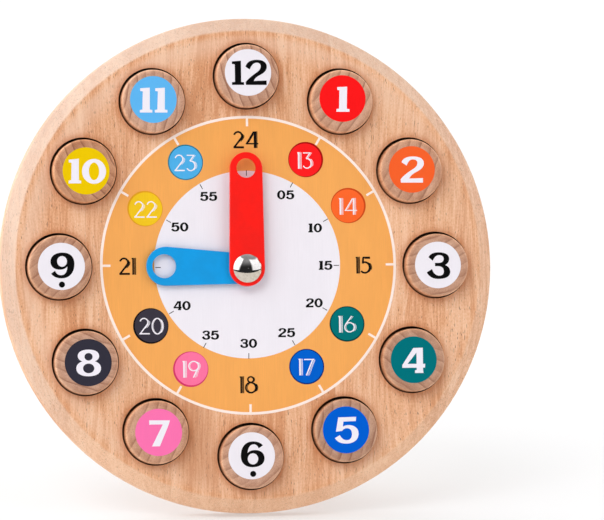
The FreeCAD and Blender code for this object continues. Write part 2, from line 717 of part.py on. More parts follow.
# --------------------------------------------------------------------------
# Hinged easel leg behind the board
# --------------------------------------------------------------------------
bracket = new_body("leg_bracket")
sk = new_sketch(bracket, "leg_bracket_plate", lift=-(d("board_thick") + d("plate_thick")))
half_tall = d("plate_tall") / 2
add_polygon(sk, [(-d("plate_half"), d("hinge_v") - half_tall),
                 (d("plate_half"), d("hinge_v") - half_tall),
                 (d("plate_half"), d("hinge_v") + half_tall),
                 (-d("plate_half"), d("hinge_v") + half_tall)])
doc.recompute()
pad(bracket, sk, d("plate_thick"), "leg_bracket_base")
corner = [("Edge%d" % k) for k, e in enumerate(bracket.Shape.Edges, start=1)
          if e.Curve.TypeId == "Part::GeomLine" and abs(abs(e.tangentAt(e.FirstParameter).z) - 1) < 1e-6]
fillet(bracket, corner, Dim(3.0, "3"), "leg_bracket_corners")
for side, name in ((-1, "left"), (1, "right")):
    ear = new_sketch(bracket, "leg_bracket_ear_" + name, "YZ_Plane",
                     lift=(d("ear_in") if side > 0 else -(d("ear_in") + d("ear_thick"))))
    # Sketch x is v and sketch y is w on this plane.
    back = -(d("board_thick") + d("plate_thick") / 2)
    er = d("ear_rad")
    hv, hw = d("hinge_v"), d("hinge_w")
    p = [vec(hv.value + 8.0, back.value, 0), vec(hv.value - 8.0, back.value, 0)]
    dist = math.hypot(8.0, back.value - hw.value)
    # Straight flanks run from the plate to the round end about the hinge.
    turn = math.atan2(back.value - hw.value, 8.0) + math.acos(er.value / dist)
    left_t = vec(hv.value + er.value * math.cos(turn), hw.value + er.value * math.sin(turn), 0)
    right_t = vec(hv.value - er.value * math.cos(turn), hw.value + er.value * math.sin(turn), 0)
    if turn > math.pi / 2:
        left_t = vec(hv.value + er.value, hw.value, 0)
        right_t = vec(hv.value - er.value, hw.value, 0)
    l1 = ear.addGeometry(Part.LineSegment(p[1], p[0]), False)
    l2 = ear.addGeometry(Part.LineSegment(p[0], left_t), False)
    arc_mid = vec(hv.value, hw.value - er.value, 0)
    arc = ear.addGeometry(Part.Arc(left_t, arc_mid, right_t), False)
    l3 = ear.addGeometry(Part.LineSegment(right_t, p[1]), False)
    doc.recompute()
    pad(bracket, ear, d("ear_thick"), "leg_bracket_ear_pad_" + name)
    bore = new_sketch(bracket, "leg_bracket_bore_" + name, "YZ_Plane",
                      lift=(d("ear_in") if side > 0 else -(d("ear_in") + d("ear_thick"))))
    add_circle(bore, hv, hw, d("pin_rad"))
    pocket(bracket, bore, d("ear_thick"), "leg_bracket_bore_cut_" + name, reverse=True)
sk = new_sketch(bracket, "leg_bracket_screw_holes", lift=-(d("board_thick") + d("plate_thick")))
for x, y in PLATE_SCREWS:
    add_circle(sk, x, y, d("screw_rad") + 0.25)
pocket(bracket, sk, d("plate_thick"), "leg_bracket_screw_cut", reverse=True)
node(bracket, BOARD)
for k, (x, y) in enumerate(PLATE_SCREWS, start=1):
    screw("bracket_screw_%d" % k, x.value, y.value,
          -(d("board_thick") + d("plate_thick")), d("plate_thick") + d("screw_long") - 0.5)

# Hinge pin: a rod with a low head outside each ear, along the row's X axis.
ear_out = d("ear_in") + d("ear_thick")
pin_end = ear_out + d("pin_head_thick")
AXIS = FreeCAD.Placement(FreeCAD.Vector(0, origin_y + hinge_y, hinge_z),
                         FreeCAD.Rotation(FreeCAD.Vector(0, 1, 0), 90))
node(ring_body("hinge_pin", [
    (ZERO, -pin_end), (d("pin_head_rad") - 0.7, -pin_end),
    (d("pin_head_rad"), -pin_end + 0.7), (d("pin_head_rad"), -ear_out),
    (d("pin_rad"), -ear_out), (d("pin_rad"), ear_out),
    (d("pin_head_rad"), ear_out), (d("pin_head_rad"), pin_end - 0.7),
    (d("pin_head_rad") - 0.7, pin_end), (ZERO, pin_end)]), AXIS)

# Leg: modelled with local +Z up along the leg, +Y to the rear, hinge at the origin.
LEGFRAME = FreeCAD.Placement(
    FreeCAD.Vector(0, origin_y + hinge_y, hinge_z),
    FreeCAD.Rotation(FreeCAD.Vector(1, 0, 0), NUM["leg_angle"]))
leg = new_body("stand_leg")
sk = new_sketch(leg, "stand_leg_outline", "XZ_Plane", lift=-(d("leg_thick") / 2))
long_leg = Dim(leg_run + 4.0, "%.6f" % (leg_run + 4.0))
add_polygon(sk, [(-d("leg_head_half"), d("leg_heel")),
                 (-d("leg_head_half"), Dim(-14.0, "-14")),
                 (-d("leg_foot_half"), -long_leg),
                 (d("leg_foot_half"), -long_leg),
                 (d("leg_head_half"), Dim(-14.0, "-14")),
                 (d("leg_head_half"), d("leg_heel"))])
doc.recompute()
pad(leg, sk, d("leg_thick"), "stand_leg_plate")
# The foot is cut level with the floor, one pad thickness above it.
cut = new_sketch(leg, "stand_leg_foot_line", "YZ_Plane", lift=-(d("leg_foot_half") + 2.0))
tl = math.tan(LEG)
zc = -(hinge_z - NUM["pad_thick"]) / math.cos(LEG)   # at the leg's middle plane
wide = 12.0
pts = [(-wide, zc + wide * tl), (wide, zc - wide * tl), (wide, zc - 30), (-wide, zc - 30)]
for k in range(4):
    x1, y1 = pts[k]
    x2, y2 = pts[(k + 1) % 4]
    cut.addGeometry(Part.LineSegment(vec(x1, y1, 0), vec(x2, y2, 0)), False)
doc.recompute()
pocket(leg, cut, d("leg_foot_half") * 2 + 4.0, "stand_leg_foot_cut", reverse=True)
bore = new_sketch(leg, "stand_leg_bore", "YZ_Plane", lift=-(d("leg_head_half") + 1.0))
add_circle(bore, ZERO, ZERO, d("pin_bore"))
pocket(leg, bore, d("leg_head_half") * 2 + 2.0, "stand_leg_bore_cut", reverse=True)
node(leg, LEGFRAME)

# Rubber pads under the foot, flat on the floor.
foot_y = origin_y + hinge_y + (hinge_z - NUM["pad_thick"]) * math.tan(LEG)
pad_deep = NUM["leg_thick"] / math.cos(LEG)
for side, name in ((-1, "foot_pad_left"), (1, "foot_pad_right")):
    box = doc.addObject("Part::Box", name)
    box.Label = name
    box.setExpression("Length", "Sheet.pad_wide")
    box.Width = pad_deep
    box.setExpression("Width", "Sheet.leg_thick / cos(Sheet.leg_angle * 1deg)")
    box.setExpression("Height", "Sheet.pad_thick")
    node(box, FreeCAD.Placement(
        FreeCAD.Vector(side * NUM["pad_at"] - NUM["pad_wide"] / 2,
                       foot_y - pad_deep / 2, 0), FreeCAD.Rotation()))

# --------------------------------------------------------------------------
# Checks and export
# --------------------------------------------------------------------------
doc.recompute()
for obj in doc.Objects:
    bad = [word for word in obj.State if word in ("Invalid", "Error")]
    if bad:
        raise RuntimeError("%s is %s" % (obj.Label, bad))
    if obj.TypeId == "Sketcher::SketchObject" and obj.solve() != 0:
        raise RuntimeError("%s does not solve" % obj.Label)
labels = [obj.Label for obj in NODES]
if len(set(labels)) != len(labels):
    raise RuntimeError("a node name is used twice")
whole = FreeCAD.BoundBox()
for obj in NODES:
    shape = obj.Shape
    if shape.isNull() or not shape.isValid() or not shape.Solids:
        raise RuntimeError(obj.Label + " has no valid solid")
    if len(shape.Solids) != 1:
        raise RuntimeError(obj.Label + " is not one solid")
    whole.add(shape.optimalBoundingBox(False, False))
for obj in NODES:
    obj.Shape.exportStep("parts/%s.step" % obj.Label)
    print("%-20s %10.1f mm3" % (obj.Label, obj.Shape.Volume))
print("nodes", len(NODES))
print("origin_y %.4f origin_z %.4f hinge y %.4f z %.4f leg_run %.4f" %
      (origin_y, origin_z, origin_y + hinge_y, hinge_z, leg_run))
print("box", whole)
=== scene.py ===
"""Looks of the geared teaching clock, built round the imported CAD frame.

Everything is in metres in the row frame. Print, labels and materials are laid out in the
board's own millimetre frame: u to the right on the dial, v up the dial, w out of the dial,
with its origin at the centre of the board's front face.
"""
import json
import math

import bpy
from mathutils import Euler, Matrix, Vector, geometry


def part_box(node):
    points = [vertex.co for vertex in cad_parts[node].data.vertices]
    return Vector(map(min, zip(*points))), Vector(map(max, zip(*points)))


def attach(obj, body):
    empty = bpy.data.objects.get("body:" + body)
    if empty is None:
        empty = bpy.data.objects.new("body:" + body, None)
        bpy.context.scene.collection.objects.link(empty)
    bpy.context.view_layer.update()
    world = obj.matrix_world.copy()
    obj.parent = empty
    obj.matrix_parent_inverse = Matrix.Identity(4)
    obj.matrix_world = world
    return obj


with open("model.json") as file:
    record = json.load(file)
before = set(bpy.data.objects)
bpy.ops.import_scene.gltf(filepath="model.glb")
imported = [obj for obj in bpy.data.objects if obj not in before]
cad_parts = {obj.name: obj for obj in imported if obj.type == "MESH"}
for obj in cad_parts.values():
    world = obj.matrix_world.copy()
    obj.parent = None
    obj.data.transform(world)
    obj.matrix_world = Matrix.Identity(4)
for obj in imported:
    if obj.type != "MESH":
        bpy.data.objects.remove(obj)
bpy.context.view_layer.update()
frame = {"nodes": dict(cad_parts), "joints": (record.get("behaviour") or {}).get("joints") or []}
NODES = frame["nodes"]

# ---------------------------------------------------------------- board frame

joint = {j["name"]: j for j in frame["joints"]}
LEAN = math.radians(12.0)
AX_U = Vector((1.0, 0.0, 0.0))
AX_V = Vector((0.0, math.sin(LEAN), math.cos(LEAN)))
AX_W = Vector((0.0, -math.cos(LEAN), math.sin(LEAN)))
HUB = (-2.1, -2.4)               # the hands' axis on the dial, in millimetres
ORIGIN = Vector(joint["minute_turn"]["pos_m"]) - AX_W * 0.0046 - (AX_U * HUB[0] + AX_V * HUB[1]) * 0.001
BOARD_ROT = Matrix((AX_U, AX_V, AX_W)).transposed()


def bp(u, v, w):
    """A point of the board frame, given in millimetres, in the row frame in metres."""
    return ORIGIN + (AX_U * u + AX_V * v + AX_W * w) * 0.001


PITCH = 107.3
PEG_TOP = 8.0
RING_OFF = (-0.8, -0.7)          # centre of the ring of peg holes
PEG_OFF = (-0.8, -1.1)           # and of the ring of pegs, which rest low in their holes


def clock_uv(hour, radius, off=(0.0, 0.0)):
    t = math.radians(30.0 * hour)
    return off[0] + radius * math.sin(t), off[1] + radius * math.cos(t)


# ------------------------------------------------------------------- colours


def lin(r, g, b):
    """sRGB 0..255 to linear RGBA."""
    out = []
    for c in (r, g, b):
        c /= 255.0
        out.append(c / 12.92 if c <= 0.04045 else ((c + 0.055) / 1.055) ** 2.4)
    return (*out, 1.0)


def shade(c, k):
    return (c[0] * k, c[1] * k, c[2] * k, 1.0)


# --------------------------------------------------------------- node helper


class Mat:
    """A small builder for procedural materials round one Principled shader."""

    def __init__(self, name, **settings):
        self.mat = bpy.data.materials.new(name)
        self.mat.use_nodes = True
        self.tree = self.mat.node_tree
        self.tree.nodes.clear()
        out = self.node("ShaderNodeOutputMaterial")
        self.bsdf = self.node("ShaderNodeBsdfPrincipled")
        self.tree.links.new(self.bsdf.outputs[0], out.inputs[0])
        self.out = out
        self.column = 0
        for key, value in settings.items():
            self.bsdf.inputs[key.replace("_", " ")].default_value = value

    def node(self, kind, **props):
        n = self.tree.nodes.new(kind)
        for key, value in props.items():
            setattr(n, key, value)
        return n

    def put(self, socket, value):
        if isinstance(value, bpy.types.NodeSocket):
            self.tree.links.new(value, socket)
        else:
            socket.default_value = value

    def math(self, op, a, b=0.0, c=0.0, clamp=False):
        n = self.node("ShaderNodeMath", operation=op, use_clamp=clamp)
        for socket, value in zip(n.inputs, (a, b, c)):
            self.put(socket, value)
        return n.outputs[0]

    def add(self, a, b):
        return self.math("ADD", a, b)

    def sub(self, a, b):
        return self.math("SUBTRACT", a, b)

    def mul(self, a, b):
        return self.math("MULTIPLY", a, b)

    def muladd(self, a, b, c):
        return self.math("MULTIPLY_ADD", a, b, c)

    def smooth(self, value, low, high, to_low=0.0, to_high=1.0):
        n = self.node("ShaderNodeMapRange", interpolation_type="SMOOTHSTEP")
        n.clamp = True
        self.put(n.inputs[0], value)
        for i, x in enumerate((low, high, to_low, to_high)):
            self.put(n.inputs[1 + i], x)
        return n.outputs[0]

    def mix(self, factor, a, b, blend="MIX"):
        n = self.node("ShaderNodeMix", data_type="RGBA", blend_type=blend)
        self.put(n.inputs[0], factor)
        self.put(n.inputs[6], a)
        self.put(n.inputs[7], b)
        return n.outputs[2]

    def split(self, vector):
        n = self.node("ShaderNodeSeparateXYZ")
        self.put(n.inputs[0], vector)
        return n.outputs[0], n.outputs[1], n.outputs[2]

    def join(self, x, y, z):
        n = self.node("ShaderNodeCombineXYZ")
        for socket, value in zip(n.inputs, (x, y, z)):
            self.put(socket, value)
        return n.outputs[0]

    def noise(self, vector, scale=1.0, detail=2.0, rough=0.5, distortion=0.0):
        n = self.node("ShaderNodeTexNoise", noise_dimensions="3D")
        self.put(n.inputs["Vector"], vector)
        n.inputs["Scale"].default_value = scale
        n.inputs["Detail"].default_value = detail
        n.inputs["Roughness"].default_value = rough
        n.inputs["Distortion"].default_value = distortion
        return n.outputs[0]

    def voronoi(self, vector, scale=1.0, feature="F1"):
        n = self.node("ShaderNodeTexVoronoi", voronoi_dimensions="3D", feature=feature)
        self.put(n.inputs["Vector"], vector)
        n.inputs["Scale"].default_value = scale
        return n.outputs["Distance"], n.outputs["Color"]

    def white(self, value):
        n = self.node("ShaderNodeTexWhiteNoise", noise_dimensions="1D")
        self.put(n.inputs["W"], value)
        return n.outputs["Value"], n.outputs["Color"]

    def ramp(self, factor, stops, interpolation="LINEAR"):
        n = self.node("ShaderNodeValToRGB")
        cr = n.color_ramp
        cr.interpolation = interpolation
        while len(cr.elements) < len(stops):
            cr.elements.new(0.5)
        for element, (position, colour) in zip(cr.elements, stops):
            element.position = position
            element.color = colour
        self.put(n.inputs[0], factor)
        return n.outputs[0]

    def local(self, origin, rotation, scale=0.001):
        """Object coordinates in millimetres in a frame at origin with the axes of rotation."""
        coords = self.node("ShaderNodeTexCoord")
        n = self.node("ShaderNodeMapping", vector_type="TEXTURE")
        self.tree.links.new(coords.outputs["Object"], n.inputs["Vector"])
        n.inputs["Location"].default_value = origin
        n.inputs["Rotation"].default_value = rotation.to_euler("XYZ")
        n.inputs["Scale"].default_value = (scale, scale, scale)
        return n.outputs[0]

    def bump(self, height, distance, strength=1.0, normal=None):
        n = self.node("ShaderNodeBump")
        n.inputs["Strength"].default_value = strength
        n.inputs["Distance"].default_value = distance
        self.put(n.inputs["Height"], height)
        if normal is not None:
            self.put(n.inputs["Normal"], normal)
        return n.outputs[0]

    def finish(self, colour=None, rough=None, normal=None, metal=None, alpha=None):
        if colour is not None:
            self.put(self.bsdf.inputs["Base Color"], colour)
        if rough is not None:
            self.put(self.bsdf.inputs["Roughness"], rough)
        if normal is not None:
            self.put(self.bsdf.inputs["Normal"], normal)
        return self.mat


def dress(name, material):
    """Gives a carried-over CAD node its material."""
    o = NODES[name]
    if not o.material_slots:
        o.data.materials.append(material)
    for s in o.material_slots:
        s.link = "OBJECT"
        s.material = material


# --------------------------------------------------------------------- wood

LIGHT = lin(243, 199, 165)
MID = lin(233, 180, 141)
DARK = lin(213, 149, 105)
PORE = lin(108, 58, 33)


def flat_wood(m, p, staves, seed):
    """Colour, pore mask, fibre value for wood with its grain along the local v axis."""
    u, v, w = m.split(p)
    if staves:
        # boards glued edge to edge; each has its own piece of the pattern
        index = m.math("FLOOR", m.mul(m.sub(u, 1.0), 1.0 / 47.0))
        tone, tint = m.white(m.add(index, seed))
        shift = m.mul(index, 61.7)
        edge = m.math("ABSOLUTE", m.sub(m.math("FRACT", m.mul(m.add(u, 469.0), 1.0 / 47.0)), 0.5))
        glue = m.smooth(edge, 0.4955, 0.4990)
    else:
        tone, glue, shift = None, None, seed * 13.7
    slow = m.noise(m.join(m.mul(u, 0.018), m.mul(v, 0.0045), m.mul(w, 0.02)), 1.0, 2.0)
    us = m.add(m.add(u, shift), m.mul(m.sub(slow, 0.5), 26.0))
    # broad bands, streaks, fine fibres
    band = m.noise(m.join(m.mul(us, 0.07), m.mul(v, 0.006), m.mul(w, 0.05)), 1.0, 2.0, 0.55)
    streak = m.noise(m.join(m.mul(us, 0.38), m.mul(v, 0.026), m.mul(w, 0.3)), 1.0, 3.0, 0.6, 0.5)
    fibre = m.noise(m.join(m.mul(us, 1.5), m.mul(v, 0.052), m.mul(w, 1.5)), 1.0, 3.0, 0.62)
    grit = m.noise(m.join(m.mul(us, 1.7), m.mul(v, 0.75), m.mul(w, 1.7)), 1.0, 2.0, 0.6)
    t = m.muladd(m.sub(band, 0.5), 1.5, 0.58)
    t = m.muladd(m.sub(streak, 0.5), 1.5, t)
    t = m.muladd(m.sub(fibre, 0.5), 1.6, t)
    t = m.muladd(m.sub(grit, 0.5), 1.15, t)
    if tone is not None:
        t = m.muladd(m.sub(tone, 0.5), 0.16, t)
    colour = m.ramp(t, [(0.06, LIGHT), (0.48, MID), (0.94, DARK)])
    # vessels: short fine dark lines along the grain, denser in some streaks
    crowd = m.noise(m.join(m.mul(us, 0.22), m.mul(v, 0.016), m.mul(w, 0.1)), 1.0, 2.0, 0.5)
    pores = None
    for wide, long, low, lean, depth in ((0.62, 4.2, 0.66, 1.7, 1.0), (0.50, 2.3, 0.62, 1.4, 0.75), (0.75, 8.0, 0.86, 2.0, 0.8)):
        cell = m.join(m.muladd(us, 1.0 / wide, 3.3 * long), m.mul(v, 1.0 / long), m.mul(w, 1.0 / wide))
        dist, cid = m.voronoi(cell)
        pick, size, _ = m.split(cid)
        keep = m.smooth(m.add(pick, m.mul(m.sub(crowd, 0.5), lean)), low, low + 0.10)
        edge = m.muladd(size, 0.10, 0.17)
        one = m.mul(m.mul(m.smooth(m.sub(edge, dist), 0.0, 0.10), keep), depth)
        pores = one if pores is None else m.math("MAXIMUM", pores, one)
    colour = m.mix(m.mul(pores, 0.90), colour, PORE)
    if glue is not None:
        colour = m.mix(m.mul(glue, 0.16), colour, PORE)
    return colour, pores, fibre, grit


def board_material():
    m = Mat("board_wood_mat", Specular_IOR_Level=0.42)
    p = m.local(ORIGIN, BOARD_ROT)
    colour, pores, fibre, grit = flat_wood(m, p, True, 3.0)
    u, v, w = m.split(p)
    radius = m.math("SQRT", m.add(m.mul(u, u), m.mul(v, v)))
    # painted sheen: the bevel is painted paler and greyer round the upper left of the board, where the light falls on
    # it, in uneven patches
    outer = m.smooth(radius, 131.4, 133.4)
    front = m.smooth(w, -9.5, -6.0)
    toward = m.math("DIVIDE", m.add(m.mul(u, -0.643), m.mul(v, 0.766)), m.math("MAXIMUM", radius, 1.0))
    lit_side = m.smooth(toward, -0.9, 1.0)
    sheen_patches = m.noise(m.join(m.mul(u, 0.5), m.mul(v, 0.16), m.mul(w, 0.5)), 1.0, 3.0, 0.6)
    painted_sheen = m.mul(m.mul(outer, front), m.mul(m.muladd(lit_side, 0.80, 0.20), m.muladd(sheen_patches, 0.5, 0.66)))
    colour = m.mix(m.mul(painted_sheen, 0.70), colour, lin(205, 185, 171))
    # painted light: its lowest part is painted lighter, standing in for light bounced up from the floor
    under = m.smooth(m.math("DIVIDE", v, m.math("MAXIMUM", radius, 1.0)), -0.55, -0.80)
    colour = m.mix(m.mul(m.mul(outer, front), m.mul(under, 0.34)), colour, lin(254, 206, 166))
    colour = m.mix(m.mul(m.mul(outer, front), m.smooth(grit, 0.62, 0.80, 0.0, 0.30)), colour, PORE)
    colour = m.mix(m.mul(m.mul(outer, front), m.mul(pores, 0.45)), colour, PORE)
    # the face is painted a little paler towards its edge, most towards the upper left where the light falls (painted
    # light), and a darker streak runs up from the bottom
    rim = m.mul(m.smooth(radius, 114.0, 126.0), m.smooth(radius, 131.5, 127.0))
    colour = m.mix(m.mul(rim, m.muladd(lit_side, 0.34, 0.10)), colour, lin(238, 204, 180))
    wave = m.noise(m.join(m.mul(u, 0.02), m.mul(v, 0.012), 4.0), 1.0, 2.0)
    off = m.math("ABSOLUTE", m.add(m.add(u, 34.0), m.mul(m.sub(wave, 0.5), 30.0)))
    heart = m.mul(m.mul(m.smooth(off, 19.0, 4.0), m.smooth(v, -30.0, -86.0)), m.smooth(radius, 133.0, 120.0))
    colour = m.mix(m.mul(heart, 0.42), colour, lin(196, 134, 96))
    # painted shade: the drilled holes are painted near black inside, and a warm brown ring is painted round each on the
    # face, for the shade in and round the holes
    hu, hv = m.sub(u, RING_OFF[0]), m.sub(v, RING_OFF[1])
    turn = m.math("ARCTAN2", hu, hv)
    step = math.pi / 6
    fold = m.sub(turn, m.mul(m.math("ROUND", m.mul(turn, 1.0 / step)), step))
    reach = m.math("SQRT", m.add(m.mul(hu, hu), m.mul(hv, hv)))
    du = m.mul(reach, m.math("SINE", fold))
    dv = m.sub(m.mul(reach, m.math("COSINE", fold)), PITCH)
    away = m.math("SQRT", m.add(m.mul(du, du), m.mul(dv, dv)))
    # painted shade round each hole on the face
    painted_peg_shade = m.mul(m.mul(m.smooth(away, 23.0, 18.8), m.smooth(w, -4.0, -1.0)), m.smooth(radius, 133.0, 129.0))
    colour = m.mix(m.mul(painted_peg_shade, 0.42), colour, lin(190, 112, 56))
    # painted shade on the hole walls
    painted_hole_shade = m.mul(m.mul(m.smooth(away, 16.8, 18.8), m.smooth(away, 19.3, 19.08)), m.mul(m.smooth(w, -0.12, -0.7), m.smooth(w, -12.9, -12.4)))
    colour = m.mix(m.mul(painted_hole_shade, 0.94), colour, lin(44, 26, 17))
    rough = m.muladd(fibre, 0.16, 0.38)
    rough = m.muladd(pores, 0.2, rough)
    height = m.add(m.muladd(fibre, 0.5, m.mul(grit, 0.35)), m.mul(pores, -0.7))
    normal = m.bump(height, 0.00005, 0.5)
    return m.finish(colour, rough, normal)


def leg_material():
    m = Mat("leg_wood_mat", Specular_IOR_Level=0.42)
    lo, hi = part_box("stand_leg")
    # the leg runs from the hinge at its top to the floor behind
    top = Vector(joint["leg_fold"]["pos_m"])
    foot = Vector((0.0, hi.y, lo.z))
    along = (top - foot).normalized()
    side = Vector((1.0, 0.0, 0.0))
    out = side.cross(along).normalized()
    rot = Matrix((side, along, out)).transposed()
    p = m.local(top, rot)
    colour, pores, fibre, grit = flat_wood(m, p, False, 7.0)
    rough = m.muladd(fibre, 0.16, 0.38)
    height = m.add(m.muladd(fibre, 0.5, m.mul(grit, 0.35)), m.mul(pores, -1.1))
    return m.finish(colour, rough, m.bump(height, 0.00005, 0.55))


# growth-line direction (degrees, on the peg's top), line spacing, offset, line strength, warmth
PEG_GRAIN = {
    1: (57, 5.2, 0.3, 1.0, 1.0),
    2: (66, 6.0, 0.1, 0.9, 1.3),
    3: (20, 5.2, 0.6, 0.6, 0.9),
    4: (-35, 5.6, 0.2, 0.75, 0.9),
    5: (78, 5.2, 0.5, 0.9, 0.5),
    6: (38, 5.8, 0.0, 0.65, 0.4),
    7: (70, 5.6, 0.7, 0.6, 1.3),
    8: (-20, 4.6, 0.4, 0.75, 0.4),
    9: (48, 5.2, 0.9, 0.75, 1.2),
    10: (-58, 5.0, 0.15, 1.0, 3.2),
    11: (82, 4.8, 0.35, 0.8, 0.2),
    12: (-72, 4.9, 0.8, 0.9, 0.5),
}


PEG_TONE = {1: 1.07, 2: 1.04, 3: 0.97, 4: 0.90, 5: 0.86, 6: 1.02, 7: 1.04, 8: 0.99, 9: 0.95, 10: 0.96, 11: 1.07, 12: 1.04}


def peg_material(k):
    """Dowel with its grain along w, so the top is end grain with growth lines across it."""
    angle, spacing, offset, strength, warm = PEG_GRAIN[k]
    m = Mat("peg_wood_mat_%d" % k, Specular_IOR_Level=0.40)
    cu, cv = clock_uv(k, PITCH, PEG_OFF)
    t = math.radians(angle)
    # local x runs across the growth lines
    ax = AX_U * math.sin(t) - AX_V * math.cos(t)
    ay = AX_U * math.cos(t) + AX_V * math.sin(t)
    rot = Matrix((ax, -ay, AX_W)).transposed()
    if rot.determinant() < 0:
        rot = Matrix((ax, ay, AX_W)).transposed()
    p = m.local(bp(cu, cv, 0.0), rot)
    x, y, z = m.split(p)
    seed = 17.3 * k
    wander = m.noise(m.join(m.muladd(x, 0.05, seed), m.mul(y, 0.055), m.mul(z, 0.012)), 1.0, 2.0)
    # growth rings: nearly straight arcs of a large circle
    far = 95.0
    xs = m.add(x, far)
    ring = m.math("SQRT", m.add(m.mul(xs, xs), m.mul(m.mul(y, y), 0.9)))
    ring = m.muladd(m.sub(wander, 0.5), 4.5, ring)
    turns = m.muladd(ring, 1.0 / spacing, offset)
    phase = m.math("FRACT", turns)
    # each year's line has its own strength
    year, _ = m.white(m.add(m.math("FLOOR", turns), seed))
    line = m.mul(m.smooth(phase, 0.70, 0.92), m.smooth(phase, 1.0, 0.95))
    line = m.mul(line, m.smooth(year, 0.05, 0.75, 0.22, 1.0))
    body = m.smooth(phase, 0.0, 0.9)
    fine = m.noise(m.join(m.muladd(x, 2.6, seed), m.mul(y, 1.1), m.mul(z, 0.06)), 1.0, 3.0, 0.65)
    cloud = m.noise(m.join(m.muladd(x, 0.16, seed), m.mul(y, 0.1), m.mul(z, 0.015)), 1.0, 2.0)
    rays = m.noise(m.join(m.muladd(x, 0.35, seed), m.mul(y, 4.2), m.mul(z, 0.05)), 1.0, 2.0)
    k_tone = PEG_TONE[k]
    light = shade(lin(240, 199 - 4 * warm, 169 - 8 * warm), k_tone)
    dark = shade(lin(198, 151 - 5 * warm, 121 - 8 * warm), k_tone)
    tt = m.muladd(m.sub(cloud, 0.5), 1.25, 0.40)
    tt = m.muladd(m.sub(fine, 0.5), 1.5, tt)
    tt = m.muladd(m.sub(rays, 0.5), 0.40, tt)
    tt = m.muladd(body, 0.30, tt)
    colour = m.ramp(tt, [(0.05, light), (0.95, dark)])
    # the sawn top is darker and greyer than the turned side
    top = m.smooth(z, PEG_TOP - 1.2, PEG_TOP - 0.1)
    colour = m.mix(top, colour, (0.74, 0.695, 0.725, 1.0), "MULTIPLY")
    # the rim of the top is painted warmer, and the turned side browner down towards the hole: painted shade at the
    # rounded edge and where the side goes down into the hole
    spread = m.math("SQRT", m.add(m.mul(x, x), m.mul(y, y)))
    colour = m.mix(m.mul(m.smooth(spread, 14.2, 16.4), 0.8), colour, (0.985, 0.925, 0.86, 1.0), "MULTIPLY")
    colour = m.mix(m.mul(m.smooth(z, PEG_TOP - 1.7, 2.0), 0.50), colour, lin(174, 100, 52))
    line = m.mul(line, m.muladd(top, 0.78, 0.22))
    colour = m.mix(m.mul(line, 0.72 * strength), colour, lin(134, 84, 60))
    # open vessels show as dark dots on the end grain and as short lines down the side
    dist, cid = m.voronoi(m.join(m.muladd(x, 1.0 / 0.8, seed), m.mul(y, 1.0 / 0.8), m.mul(z, 1.0 / 9.0)))
    pick, _, _ = m.split(cid)
    pores = m.mul(m.smooth(dist, 0.22, 0.10), m.smooth(pick, 0.62, 0.70))
    colour = m.mix(m.mul(pores, 0.65), colour, lin(120, 74, 50))
    rough = m.muladd(fine, 0.2, 0.38)
    height = m.add(m.mul(fine, 0.6), m.muladd(pores, -1.0, m.mul(line, -0.5)))
    return m.finish(colour, rough, m.bump(height, 0.00005, 0.5))


dress("board", board_material())
dress("stand_leg", leg_material())
for k in range(1, 13):
    dress("number_peg_%d" % k, peg_material(k))


# ------------------------------------------------------- plastics and metals


def painted(name, colour, rough=0.34, coat=0.12, centre=None):
    """Satin painted hand: faint mottling, dark specks and an orange-peel bump."""
    m = Mat(name, Specular_IOR_Level=0.45, Coat_Weight=coat, Coat_Roughness=0.22)
    p = m.local(ORIGIN, BOARD_ROT)
    u, v, w = m.split(p)
    cloud = m.noise(p, 0.09, 3.0, 0.55)
    speck = m.noise(p, 2.4, 2.0, 0.6)
    peel = m.noise(p, 1.1, 2.0, 0.5)
    c = m.mix(m.smooth(cloud, 0.25, 0.75), shade(colour, 1.04), shade(colour, 0.93))
    c = m.mix(m.mul(m.smooth(speck, 0.60, 0.80), 0.10), c, shade(colour, 0.7))
    r = m.muladd(m.sub(speck, 0.5), 0.12, m.muladd(m.sub(cloud, 0.5), 0.1, rough))
    h = m.muladd(peel, 0.8, m.mul(speck, 0.3))
    return m.finish(c, r, m.bump(h, 0.00004, 0.35))


def moulded(name, colour, rough=0.42):
    """Injection-moulded acetal: satin, with faint flow marks and fine texture."""
    m = Mat(name, Specular_IOR_Level=0.5, Subsurface_Weight=0.08, Subsurface_Scale=0.001)
    p = m.local(ORIGIN, BOARD_ROT)
    flow = m.noise(p, 0.12, 3.0, 0.5, 0.6)
    grain = m.noise(p, 3.5, 2.0, 0.6)
    c = m.mix(m.smooth(flow, 0.3, 0.7), shade(colour, 1.03), shade(colour, 0.90))
    r = m.muladd(m.sub(flow, 0.5), 0.16, m.muladd(m.sub(grain, 0.5), 0.12, rough))
    return m.finish(c, r, m.bump(m.muladd(grain, 0.6, m.mul(flow, 0.4)), 0.00003, 0.4))


def turned(name, colour, rough, centre_uv=(0.0, 0.0), tool=6.0):
    """Turned metal: tool rings about an axis square to the dial, with faint stains."""
    m = Mat(name, Metallic=1.0)
    p = m.local(bp(centre_uv[0], centre_uv[1], 0.0), BOARD_ROT)
    u, v, w = m.split(p)
    radius = m.math("SQRT", m.add(m.mul(u, u), m.mul(v, v)))
    rings = m.noise(m.join(m.mul(radius, tool), m.mul(w, tool), 0.0), 1.0, 3.0, 0.6)
    stain = m.noise(p, 0.35, 3.0, 0.55)
    c = m.mix(m.smooth(stain, 0.3, 0.8), colour, shade(colour, 0.82))
    r = m.muladd(m.sub(rings, 0.5), 0.18, m.muladd(stain, 0.12, rough))
    return m.finish(c, r, m.bump(rings, 0.00002, 0.35))


